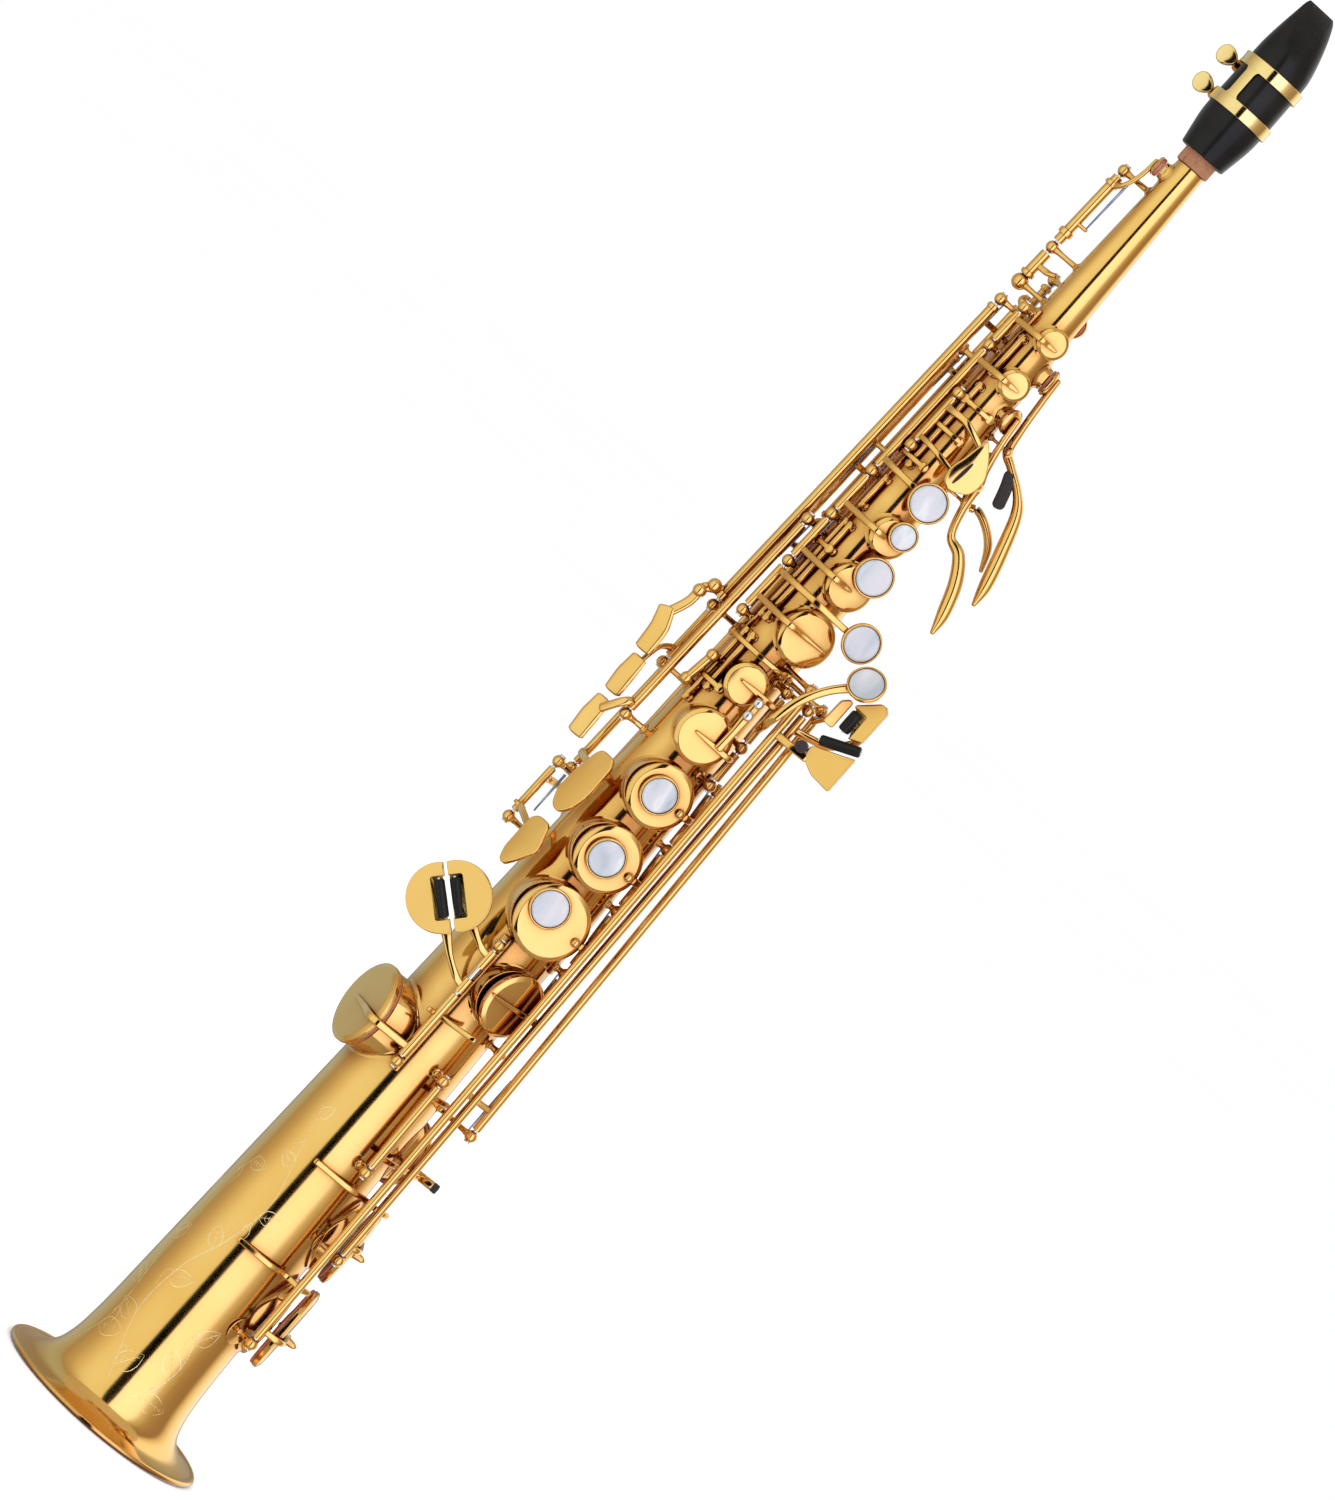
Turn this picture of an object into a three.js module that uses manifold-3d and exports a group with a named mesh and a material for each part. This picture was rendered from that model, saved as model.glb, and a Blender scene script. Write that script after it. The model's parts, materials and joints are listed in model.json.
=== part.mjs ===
// Soprano saxophone, straight one-piece body.
// Millimetres. +Z runs up the instrument from bell to mouthpiece, the origin is the centre of the
// bell rim plane, and the instrument stands on its bell. The front keys face -Y.
// A place on the body is given as (phi, r, z): phi in degrees round the body from the front (-Y)
// towards the right (+X), r from the bore axis, z up the body.

import * as THREE from 'three';
import { LoftGeometry } from 'three/addons/geometries/LoftGeometry.js';
import { mergeVertices } from 'three/addons/utils/BufferGeometryUtils.js';
import Module from 'manifold-3d';

const wasm = await Module();
wasm.setup();

// ---------------------------------------------------------------- driving dimensions
const BODY_TOP = 623;            // top of the lacquered brass, where the cork begins
const TENON_TOP = 648;           // end of the brass tenon inside the mouthpiece
const TENON_RADIUS = 5.4;
const NECK_RADIUS = 6.2;         // radius of the cone at NECK_Z
const NECK_Z = 620;
const TAPER = 0.0335;            // radius gained for each mm down the cone
const CONE_BOTTOM = 50;          // the bell flare starts here
const WALL = 1.2;
const RIM_RADIUS = 45.3;
const CORK_RADIUS = 7.2;
const CORK_TOP = 646;
const FIT = 0.3;                 // clearance between pieces that touch
const RIM_LIFT = 2;              // tone-hole rim above the body, at its middle
const TUBE = 1.75;               // outer radius of a key's hinge tube
const BALL = 2.5;                // radius of a post's ball
const ARM_WIDTH = 2.6;
const ARM_DEPTH = 1.8;
const BORE_AXIS = new THREE.Vector3(0, 0, 1);

const GOLD = { color: 0xdba94e, roughness: 0.22, metalness: 1 };
const PALE_GOLD = { color: 0xecc873, roughness: 0.2, metalness: 1 };
const PEARL = { color: 0xd9d9df, roughness: 0.2, metalness: 0 };
const EBONITE = { color: 0x17171a, roughness: 0.3, metalness: 0 };
const CORK = { color: 0xbe7860, roughness: 0.85, metalness: 0 };
const ROLLER = { color: 0x141417, roughness: 0.35, metalness: 0 };

// ---------------------------------------------------------------- places
const radians = (degrees) => degrees * Math.PI / 180;
const bodyRadius = (z) => NECK_RADIUS + TAPER * (NECK_Z - z);
const outward = (phi) => new THREE.Vector3(Math.sin(radians(phi)), -Math.cos(radians(phi)), 0);
const at = (phi, r, z) => outward(phi).multiplyScalar(r).setZ(z);
const over = (phi, height, z) => at(phi, bodyRadius(z) + height, z);
const point = (x, y, z) => new THREE.Vector3(x, y, z);
const onLine = (line, z) => {
  const share = (z - line[0].z) / (line[1].z - line[0].z);
  return line[0].clone().lerp(line[1], share);
};
// A hinge line that keeps one height over the cone, at one angle round it.
const alongBody = (phi, height) => [over(phi, height, 0), over(phi, height, 600)];

// ---------------------------------------------------------------- solids
function solid(geometry) {
  const bare = geometry.index ? geometry.toNonIndexed() : geometry.clone();
  for (const name of Object.keys(bare.attributes)) {
    if (name !== 'position') bare.deleteAttribute(name);
  }
  const merged = mergeVertices(bare, 1e-4);
  return new wasm.Manifold(new wasm.Mesh({
    numProp: 3,
    vertProperties: new Float32Array(merged.attributes.position.array),
    triVerts: new Uint32Array(merged.index.array),
  }));
}

const join = (parts) => parts.reduce((sum, part) => sum.add(part));

// Turns a shape made along +Z so that it runs from `origin` along `direction`.
function aim(geometry, origin, direction) {
  const turn = new THREE.Quaternion().setFromUnitVectors(BORE_AXIS, direction.clone().normalize());
  return geometry.applyMatrix4(new THREE.Matrix4().compose(origin, turn, point(1, 1, 1)));
}

// A turned piece: profile of [radius, height] pairs from the foot to the head, along `direction`.
function turned(profile, origin, direction, sides = 10) {
  const outline = profile.map(([r, h]) => new THREE.Vector2(r, h));
  const lathe = new THREE.LatheGeometry(outline, sides);
  lathe.rotateX(Math.PI / 2);
  return solid(aim(lathe, origin, direction));
}

function rod(from, to, radius, sides = 6) {
  const length = from.distanceTo(to);
  const profile = [[0, 0], [radius, 0], [radius, length], [0, length]];
  return turned(profile, from, to.clone().sub(from), sides);
}

function ball(centre, radius) {
  const sphere = new THREE.SphereGeometry(radius, 6, 4);
  return solid(sphere.translate(centre.x, centre.y, centre.z));
}

// A flat strap through `points`, `width` across and `depth` thick, with its face turned to `face`
// (a direction, or 'axis' for a strap that wraps round the body and faces away from the bore).
function strap(points, width, depth, face = 'axis') {
  const widths = Array.isArray(width) ? width : points.map(() => width);
  const depths = Array.isArray(depth) ? depth : points.map(() => depth);
  const sections = points.map((centre, i) => {
    const before = points[Math.max(i - 1, 0)];
    const after = points[Math.min(i + 1, points.length - 1)];
    const along = after.clone().sub(before).normalize();
    const out = face === 'axis' ? point(centre.x, centre.y, 0) : face.clone();
    const across = new THREE.Vector3().crossVectors(along, out).normalize();
    const up = new THREE.Vector3().crossVectors(across, along).normalize();
    const half = widths[i] / 2;
    const rise = depths[i] / 2;
    return [[-half, -rise], [half, -rise], [half, rise], [-half, rise]].map(
      ([a, u]) => centre.clone().addScaledVector(across, -a).addScaledVector(up, u));
  });
  return solid(new LoftGeometry(sections, { capStart: true, capEnd: true }));
}

// A plate: outline of [across, up] pairs round `centre`, `thick` deep, facing `face`; `up` is +Z.
function plate(outline, centre, face, thick) {
  const shape = new THREE.Shape(outline.map(([a, u]) => new THREE.Vector2(a, u)));
  const slab = new THREE.ExtrudeGeometry(shape, { depth: thick, bevelEnabled: false });
  const out = face.clone().normalize();
  const across = new THREE.Vector3().crossVectors(BORE_AXIS, out).normalize();
  const up = new THREE.Vector3().crossVectors(out, across);
  slab.applyMatrix4(new THREE.Matrix4().makeBasis(across, up, out).setPosition(centre));
  return solid(slab);
}

const oval = (halfWidth, halfHeight, steps = 14) => Array.from({ length: steps }, (_, i) => {
  const angle = i / steps * 2 * Math.PI;
  return [halfWidth * Math.cos(angle), halfHeight * Math.sin(angle)];
});

// ---------------------------------------------------------------- the assembly
const saxophone = new THREE.Group();

function toGeometry(part) {
  const mesh = part.getMesh();
  const geometry = new THREE.BufferGeometry();
  const positions = new THREE.BufferAttribute(new Float32Array(mesh.vertProperties), 3);
  geometry.setAttribute('position', positions);
  geometry.setIndex(new THREE.BufferAttribute(new Uint32Array(mesh.triVerts), 1));
  return geometry;
}

function add(name, part, finish, motion = null, place = new THREE.Matrix4()) {
  const material = new THREE.MeshStandardMaterial({ ...finish, flatShading: true });
  const mesh = new THREE.Mesh(toGeometry(part).applyMatrix4(place), material);
  mesh.name = name;
  mesh.userData.motion = motion;
  saxophone.add(mesh);
}

// ---------------------------------------------------------------- tone holes
// name: angle, height up the body, radius of the pad cup, height of the rim over the body
const HOLES = {
  upper_octave: [-90, 616, 4.3, 1.9],
  lower_octave: [150, 474, 3.2, 2.4],
  high_g: [150, 551, 5.0, RIM_LIFT],
  high_f_sharp: [-165, 508, 5.2, RIM_LIFT],
  side_e: [-150, 530, 5.2, RIM_LIFT],
  side_c: [-140, 458, 6.4, RIM_LIFT],
  side_b_flat: [-142, 420, 7.0, RIM_LIFT],
  palm_f: [90, 528.5, 5.5, RIM_LIFT],
  palm_e_flat: [60, 508, 5.4, RIM_LIFT],
  palm_d: [100, 489, 5.8, RIM_LIFT],
  c_vent: [23, 540, 6.2, RIM_LIFT],
  b: [19.5, 519, 6.2, RIM_LIFT],
  bis: [27, 446, 8.2, RIM_LIFT],
  a: [29, 422, 9.5, RIM_LIFT],
  g: [29.6, 397, 11.3, RIM_LIFT],
  g_sharp: [8, 369.5, 8.6, RIM_LIFT],
  f_sharp: [8, 344.5, 11.2, RIM_LIFT],
  f: [11.5, 317, 13, RIM_LIFT],
  e: [13.5, 286.5, 13.5, RIM_LIFT],
  d: [11.8, 255, 15, RIM_LIFT],
  low_c: [38, 221, 13.5, RIM_LIFT],
  e_flat: [-62, 185, 17.5, 5.5],
  low_c_sharp: [125, 148, 14.5, RIM_LIFT],
  low_b: [102, 108.5, 17.3, RIM_LIFT],
  low_b_flat: [98, 69, 18.6, RIM_LIFT],
};
const cupThickness = (radius) => 2.6 + radius * 0.1;
const rimDistance = (name) => bodyRadius(HOLES[name][1]) + HOLES[name][3];

// A point over the middle of a cup that is closed; `height` is over the top of the cup.
function cupTop(name, height = 0, dPhi = 0, dz = 0) {
  const [phi, z, radius] = HOLES[name];
  return at(phi + dPhi, rimDistance(name) + FIT + cupThickness(radius) + height, z + dz);
}

// The pad cup: a shallow domed dish that sits just over its tone-hole rim.
function cup(name, sides = 11) {
  const [phi, z, radius] = HOLES[name];
  const deep = cupThickness(radius);
  const profile = [[0, 0], [radius - 0.6, 0], [radius, 0.8], [radius, deep - 1], [radius - 1.2, deep],
    [0, deep]];
  return turned(profile, at(phi, rimDistance(name) + FIT, z), outward(phi), sides);
}

// ---------------------------------------------------------------- posts
// A post: stem and the ball that holds the end of a hinge, with a round foot on the big ones.
function post(centre, footPhi = null, footRadius = 0) {
  const phi = footPhi ?? THREE.MathUtils.radToDeg(Math.atan2(centre.x, -centre.y));
  const foot = over(phi, -0.6, centre.z);
  const stem = join([rod(foot, centre, 1.2, 5), ball(centre, BALL)]);
  return footRadius ? stem.add(turned([[0, 0], [footRadius, 0], [footRadius, 1.8], [0, 1.8]], foot,
    outward(phi), 9)) : stem;
}

// ---------------------------------------------------------------- hinge lines
// Each runs up the body from its first point to its second.
const LINES = {
  leftStack: alongBody(-60, 5.8),
  frontF: alongBody(-42, 4.6),
  sideE: alongBody(-88, 12.5),
  sideC: alongBody(-104, 12.5),
  sideBFlat: alongBody(-74, 9.5),
  highFSharp: alongBody(-118, 13),
  thumb: alongBody(-135, 11.5),
  highGCup: alongBody(-150, 14),
  lowerOctave: alongBody(-178, 7),
  rightStack: alongBody(75, 5.5),
  gSharp: alongBody(50, 6.8),
  pinky: alongBody(-5.5, 5.6),
  lowCSharpCup: alongBody(35.5, 6.2),
  upperOctave: [point(-20.5, 7.4, 550), point(-18.4, 6.6, 607)],
  highGTouch: [point(-32, 3, 272), point(-31.4, 2.8, 300)],
  lowBFlat: [point(26.7, -19, 60), point(22.4, -22, 372)],
  lowB: [point(30.4, -15, 105), point(26.4, -18.5, 372)],
  lowCSharp: [point(37.2, -4, 172), point(30.6, -9, 372)],
};
const polar = (place) => {
  const phi = THREE.MathUtils.radToDeg(Math.atan2(place.x, -place.y));
  return [phi, Math.hypot(place.x, place.y), place.z];
};
const hingeAt = (line, z) => onLine(LINES[line], z);
const hingeTube = (line, low, high, radius = TUBE) => rod(hingeAt(line, low), hingeAt(line, high), radius);

// Points from one (phi, r, z) place to another, evenly round the body.
function sweep(from, to, steps) {
  return Array.from({ length: steps + 1 }, (_, i) => {
    const [phi, r, z] = from.map((value, k) => value + (to[k] - value) * i / steps);
    return at(phi, r, z);
  });
}

// A point in the plane of a cup's top: `aside` from its middle, towards larger phi.
function onCup(name, aside, height, z) {
  const [phi] = HOLES[name];
  const along = point(Math.cos(radians(phi)), Math.sin(radians(phi)), 0);
  const [, , radius] = HOLES[name];
  const distance = rimDistance(name) + FIT + cupThickness(radius) + height;
  return outward(phi).multiplyScalar(distance).addScaledVector(along, aside).setZ(z);
}

// +1 or -1: which way round the body `place` lies from the angle `phi`.
const sideOf = (place, phi) => Math.sign(Math.sin(radians(polar(place)[0] - phi)));

// The arm from a hinge to a cup: round the body to the near edge, then straight over the top.
function cupArm(line, z, name, via = [], reach = 0.35, width = ARM_WIDTH) {
  const [phi, , radius] = HOLES[name];
  const start = hingeAt(line, z);
  const side = sideOf(start, phi);
  const lift = ARM_DEPTH / 2 - 0.25;
  const points = [start, ...via, onCup(name, side * (radius + 0.6), lift, z),
    onCup(name, -side * radius * reach, lift, z)];
  return strap(points, width, ARM_DEPTH);
}

// An arm that joins a cup at its side, where there is no room over it.
function sideArm(line, z, name) {
  const [phi, , radius] = HOLES[name];
  const start = hingeAt(line, z);
  const side = sideOf(start, phi);
  const height = -cupThickness(radius) / 2;
  return strap([start, onCup(name, side * (radius + 2.4), height - 0.6, z),
    onCup(name, side * (radius - 2), height, z)], ARM_WIDTH, ARM_DEPTH);
}

// A dish that holds a pearl, and the pearl, on `direction` from `centre`.
function pearlDish(centre, direction, radius) {
  const profile = [[0, 0], [radius - 0.6, 0], [radius + 1, 1.2], [radius + 1, 2.6],
    [radius + FIT, 2.6], [radius + FIT, 1.5], [0, 1.5]];
  return turned(profile, centre, direction, 10);
}
function pearl(centre, direction, radius) {
  const profile = [[0, 1.5 + FIT], [radius, 1.5 + FIT], [radius, 3], [0, 3.2]];
  return turned(profile, centre, direction, 10);
}

// A plate that faces the front (-Y): outline of [x, z] pairs, its back at `y`.
function frontPlate(outline, y, thick) {
  const shape = new THREE.Shape(outline.map(([x, z]) => new THREE.Vector2(x, z)));
  const slab = new THREE.ExtrudeGeometry(shape, { depth: thick, bevelEnabled: false });
  return solid(slab.rotateX(Math.PI / 2).translate(0, y, 0));
}

// ---------------------------------------------------------------- keys
// The way a hinge turns to lift a cup off its rim: +1 or -1 about the line's own direction.
function liftSense(line, name) {
  const [phi, z] = HOLES[name];
  const axis = LINES[line][1].clone().sub(LINES[line][0]).normalize();
  const offset = cupTop(name).sub(hingeAt(line, z));
  return Math.sign(axis.cross(offset).dot(outward(phi)));
}

const restOf = {};               // how each key is turned, from where it closes, for rest

// Adds a key and what rides on it. Its parts are drawn with the cup closed on its rim.
// `open` turns it off the rim for rest, from where it closes; `travel` is how far a key moves that
// rests closed. `sense` is the way it turns when it is worked.
function key(name, spec) {
  const line = spec.line ? LINES[spec.line] : spec.axis;
  const direction = line[1].clone().sub(line[0]).normalize();
  const lifting = spec.sense ?? liftSense(spec.line, spec.hole);
  const worked = spec.open ? -lifting : lifting;
  const turn = new THREE.Matrix4().makeRotationAxis(direction, lifting * radians(spec.open ?? 0));
  const rest = new THREE.Matrix4().makeTranslation(line[0])
    .multiply(turn).multiply(new THREE.Matrix4().makeTranslation(line[0].clone().negate()));
  restOf[name] = rest;
  const motion = {
    body: name,
    kind: 'hinge',
    point: line[0].toArray(),
    axis: direction.clone().multiplyScalar(worked).toArray(),
    range: [0, spec.open ?? spec.travel],
    follows: spec.follows,
    ratio: spec.ratio,
  };
  add(name, join(spec.parts), spec.finish ?? GOLD, motion, rest);
  for (const rider of spec.riders ?? []) {
    add(rider.name, rider.part, rider.finish, { body: name }, rest);
  }
}

// ---------------------------------------------------------------- left-hand stack
key('c_vent_key', {
  line: 'leftStack', hole: 'c_vent', open: 7, follows: 'b_key', ratio: 1,
  parts: [hingeTube('leftStack', 527.4, 540.6), cup('c_vent'), cupArm('leftStack', 538.5, 'c_vent')],
});

const B_PEARL = at(32, 17.4, 465);
key('b_key', {
  line: 'leftStack', hole: 'b', open: 7,
  parts: [
    hingeTube('leftStack', 463.4, 521.6), cup('b'), cupArm('leftStack', 518, 'b'),
    strap(sweep([-60, 17.2, 467], [22, 17.3, 466], 4), ARM_WIDTH, ARM_DEPTH),
    pearlDish(B_PEARL, outward(20), 7),
  ],
  riders: [{ name: 'b_pearl', part: pearl(B_PEARL, outward(20), 7), finish: PEARL }],
});

const BIS_PEARL = cupTop('bis', -0.4, 9, 3.5);
key('bis_key', {
  line: 'leftStack', hole: 'bis', open: 6.5,
  parts: [
    hingeTube('leftStack', 441.4, 457.6), cup('bis'), cupArm('leftStack', 445, 'bis', [], -0.45),
    pearlDish(BIS_PEARL, outward(24), 4.9),
  ],
  riders: [{ name: 'bis_pearl', part: pearl(BIS_PEARL, outward(24), 4.9), finish: PEARL }],
});

const A_PEARL = cupTop('a', -0.5, 12, 9);
key('a_key', {
  line: 'leftStack', hole: 'a', open: 6.5,
  parts: [
    hingeTube('leftStack', 417.4, 435.6), cup('a'), cupArm('leftStack', 421.4, 'a'),
    pearlDish(A_PEARL, outward(24), 7),
  ],
  riders: [{ name: 'a_pearl', part: pearl(A_PEARL, outward(24), 7), finish: PEARL }],
});

const G_PEARL = at(60, 28.5, 409.5);
key('g_key', {
  line: 'leftStack', hole: 'g', open: 6.5,
  parts: [
    hingeTube('leftStack', 392.4, 411.6), cup('g'), cupArm('leftStack', 397.5, 'g', [], 0.7),
    strap([...sweep([-60, 19, 410], [10, 23, 410], 4), at(38, 25, 409.5), at(56, 27.6, 409.5)],
      ARM_WIDTH, ARM_DEPTH),
    pearlDish(G_PEARL, outward(28), 7),
  ],
  riders: [{ name: 'g_pearl', part: pearl(G_PEARL, outward(28), 7), finish: PEARL }],
});

// ---------------------------------------------------------------- front F
const FRONT_F_OUTLINE = [[9.5, 496], [12.5, 495], [17, 489], [19, 484], [18, 478], [14, 475],
  [10, 474], [7, 476], [6, 481], [7.5, 487]];
key('front_f_key', {
  line: 'frontF', sense: 1, travel: 4.5,
  parts: [
    hingeTube('frontF', 480.4, 500.4, 1.5), frontPlate(FRONT_F_OUTLINE, -17.6, 1.8),
    strap([hingeAt('frontF', 497), at(-22, 17.4, 497), at(0, 18.4, 497), point(10.5, -18.2, 493)],
      ARM_WIDTH, ARM_DEPTH),
    strap([hingeAt('frontF', 482), at(-22, 17.2, 482), at(-4, 18.3, 481.4), point(7.5, -18.4, 480)],
      2.2, ARM_DEPTH),
  ],
});

// ---------------------------------------------------------------- palm keys
// Each lever runs down the right side and rocks on a short hinge across the body.
function palmKey(name, hole, pivot, path, widths, depths) {
  const axis = [pivot.clone().setY(pivot.y - 2), pivot.clone().setY(pivot.y + 2)];
  key(name, {
    axis, sense: 1, travel: 6,
    parts: [rod(axis[0], axis[1], 1.9), cup(hole, 10), strap(path, widths, depths, point(1, 0, 0.3))],
  });
}
const PALM_F_PIVOT = point(18.5, 0, 499);
const PALM_E_FLAT_PIVOT = point(18.5, -9, 482);
const PALM_D_PIVOT = point(19.5, 5, 474);
const HORN_WIDTHS = [5, 3.4, 3.2, 3.6, 4, 4.6, 5.4, 6.6, 6, 3];
const HORN_DEPTHS = [2.4, 2.6, 2.8, 3.4, 3.2, 3.2, 4.4, 5.2, 4.8, 2];
palmKey('palm_f_key', 'palm_f', PALM_F_PIVOT,
  [point(15.2, 0, 531), point(15.6, 0, 522), point(17, 0, 508), PALM_F_PIVOT, point(23, -0.5, 495.5),
    point(31, -1.5, 490), point(36.6, -2.5, 483), point(41.5, -4, 469), point(45.2, -5, 456),
    point(46.6, -5, 448)], HORN_WIDTHS, HORN_DEPTHS);
palmKey('palm_e_flat_key', 'palm_e_flat', PALM_E_FLAT_PIVOT,
  [point(13.6, -8.2, 510), point(14.6, -8.4, 500), point(16.6, -8.8, 489), PALM_E_FLAT_PIVOT,
    point(20, -9.4, 471), point(23.4, -9.8, 461.4), point(30, -10.2, 458), point(36, -10.6, 449.5),
    point(40.2, -11, 438), point(41.8, -11, 430)], HORN_WIDTHS, HORN_DEPTHS);
palmKey('palm_d_key', 'palm_d', PALM_D_PIVOT,
  [point(15, 4.4, 491), point(16, 4.6, 483), PALM_D_PIVOT, point(25, 5, 475), point(32, 4.6, 471.6),
    point(37, 4, 466.6), point(40.4, 3.6, 459)],
  [4.6, 3.2, 3.6, 4, 4, 4.4, 2.8], [2.4, 2.6, 3.2, 3, 3, 3, 1.8]);

// ---------------------------------------------------------------- octave mechanism
key('upper_octave_key', {
  line: 'upperOctave', hole: 'upper_octave', travel: 8, follows: 'octave_thumb_key', ratio: 1,
  parts: [
    hingeTube('upperOctave', 570.6, 603.6, 2.1), cup('upper_octave', 8),
    strap([hingeAt('upperOctave', 600), point(-15.2, 2.5, 602), point(-12.6, 0, 609),
      point(-11.7, 0, 617)], [3, 2.8, 2.6, 2.4], ARM_DEPTH),
  ],
});
key('octave_rocker', {
  line: 'upperOctave', sense: 1, travel: 8, follows: 'octave_thumb_key', ratio: 1,
  parts: [
    hingeTube('upperOctave', 553, 564.6, 2.2),
    strap([hingeAt('upperOctave', 559), point(-15, 4, 559), point(-12, 2.5, 560)], 2.6, ARM_DEPTH),
  ],
});
key('octave_thumb_key', {
  line: 'thumb', sense: 1, travel: 8,
  parts: [
    hingeTube('thumb', 434.4, 542.6),
    strap([...sweep([-135, 23.4, 438], [-172, 20, 440], 3), at(-180, 18.6, 446)], 3, ARM_DEPTH),
    plate(oval(6, 8, 12), at(180, 17.6, 447), outward(180), 2.4),
  ],
});
key('lower_octave_key', {
  line: 'lowerOctave', hole: 'lower_octave', travel: 7,
  parts: [
    hingeTube('lowerOctave', 461.4, 488.6), cup('lower_octave', 8),
    cupArm('lowerOctave', 474, 'lower_octave'),
  ],
});

// ---------------------------------------------------------------- G sharp and the right-hand stack
const G_SHARP_PEARL = point(36.8, -25.5, 398.8);
const G_SHARP_FACE = point(-0.32, -0.82, 0.42);
key('g_sharp_key', {
  line: 'gSharp', hole: 'g_sharp', travel: 7,
  parts: [
    hingeTube('gSharp', 353.4, 374), cup('g_sharp'),
    cupArm('gSharp', 370, 'g_sharp', [at(46, 24.6, 370)]),
    strap([hingeAt('gSharp', 360), point(17.2, -21.8, 361), point(18.6, -28.6, 368),
      point(21.4, -30, 379), point(27.8, -27.6, 389.8), point(36, -25.5, 397.8)], 3, ARM_DEPTH,
      point(0, -1, 0)),
    pearlDish(G_SHARP_PEARL, G_SHARP_FACE, 6.6),
  ],
  riders: [{ name: 'g_sharp_pearl', part: pearl(G_SHARP_PEARL, G_SHARP_FACE, 6.6), finish: PEARL }],
});
key('f_sharp_key', {
  line: 'gSharp', hole: 'f_sharp', open: 6.5, follows: 'f_key', ratio: 1,
  parts: [
    hingeTube('gSharp', 335, 347.4), cup('f_sharp'),
    cupArm('gSharp', 344.5, 'f_sharp', [], 0.35),
  ],
});

// A right-hand stack key: a big cup with its pearl on top of it.
function stackKey(name, hole, low, high, pearlTurn, pearlUp, pearlRadius) {
  const centre = cupTop(hole, -0.5, pearlTurn, pearlUp);
  const face = outward(HOLES[hole][0]);
  key(name, {
    line: 'rightStack', hole, open: 6.5,
    parts: [
      hingeTube('rightStack', low, high), cup(hole), sideArm('rightStack', HOLES[hole][1], hole),
      pearlDish(centre, face, pearlRadius),
    ],
    riders: [{
      name: name.replace('key', 'pearl'), part: pearl(centre, face, pearlRadius), finish: PEARL,
    }],
  });
}
stackKey('f_key', 'f', 305.4, 328.6, -4, 0.5, 6.8);
stackKey('e_key', 'e', 275.4, 299.6, -5, 0.3, 7);
stackKey('d_key', 'd', 246.4, 269.6, -12, 4, 7.2);

// ---------------------------------------------------------------- low C and E flat
const TOUCH_MIDDLE = [-28.2, 237.2];     // x, z between the two half-round touches
const TOUCH_SLANT = [0.751, -0.66];      // the way the gap between them runs
const TOUCH_RADIUS = 13.5;
const TOUCH_Y = -26.6;
const ROLLER_HALF = 7.4;
const ROLLER_RADIUS = 2.1;

// [x, z] of a place beside the gap: `s` along it, `t` across it.
const besideGap = (s, t) => [
  TOUCH_MIDDLE[0] + s * TOUCH_SLANT[0] - t * TOUCH_SLANT[1],
  TOUCH_MIDDLE[1] + s * TOUCH_SLANT[1] + t * TOUCH_SLANT[0],
];
// A half-round touch on one side of the gap, notched for its roller.
function halfRound(side) {
  const edge = 0.7;
  const middle = 3;
  const start = Math.asin((edge - middle) / TOUCH_RADIUS);
  const steps = 10;
  const arc = Array.from({ length: steps + 1 }, (_, i) => {
    const angle = start + (Math.PI - 2 * start) * i / steps;
    return [TOUCH_RADIUS * Math.cos(angle), middle + TOUCH_RADIUS * Math.sin(angle)];
  });
  const slot = ROLLER_HALF + 0.5;
  const depth = edge + 2 * ROLLER_RADIUS + 0.9;
  const local = [...arc, [-slot, edge], [-slot, depth], [slot, depth], [slot, edge]];
  const outline = local.map(([s, t]) => besideGap(s * side, t * side));
  return frontPlate(outline, TOUCH_Y, 1.8);
}
function touchRoller(side) {
  const t = side * (0.9 + ROLLER_RADIUS);
  const [x0, z0] = besideGap(-ROLLER_HALF, t);
  const [x1, z1] = besideGap(ROLLER_HALF, t);
  const y = TOUCH_Y - 1.2;
  return [point(x0, y, z0), point(x1, y, z1)];
}
key('e_flat_lever', {
  line: 'pinky', sense: -1, travel: 8,
  parts: [
    hingeTube('pinky', 224.6, 232.6, 2),
    halfRound(1),
    strap([hingeAt('pinky', 230), point(-6, -26.2, 230.5), point(-10, -26.8, 232.3),
      point(-16.5, -27.2, 236)], 2.8, ARM_DEPTH, point(0, -1, 0)),
  ],
});
key('low_c_lever', {
  line: 'pinky', sense: -1, travel: 8,
  parts: [
    hingeTube('pinky', 212.4, 219, 2),
    halfRound(-1),
    strap([hingeAt('pinky', 215), point(-7, -26.4, 216.5), point(-14, -26.8, 221),
      point(-21.5, -27.2, 227.5)], 2.8, ARM_DEPTH, point(0, -1, 0)),
  ],
});
key('e_flat_key', {
  line: 'pinky', hole: 'e_flat', travel: 8, follows: 'e_flat_lever', ratio: 1,
  parts: [
    hingeTube('pinky', 181, 211.2, 2), cup('e_flat', 14),
    cupArm('pinky', 184.5, 'e_flat', [], 0.25),
    strap([point(-6.5, -27.8, 200.8), hingeAt('pinky', 201), point(14, -27.6, 203)], 2.2, 1.6),
  ],
});
key('low_c_key', {
  line: 'rightStack', hole: 'low_c', open: 6.5, follows: 'low_c_lever', ratio: 0.8125,
  parts: [
    hingeTube('rightStack', 206, 238.6), cup('low_c'),
    cupArm('rightStack', 221, 'low_c', [], 1.0),
  ],
});

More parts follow.
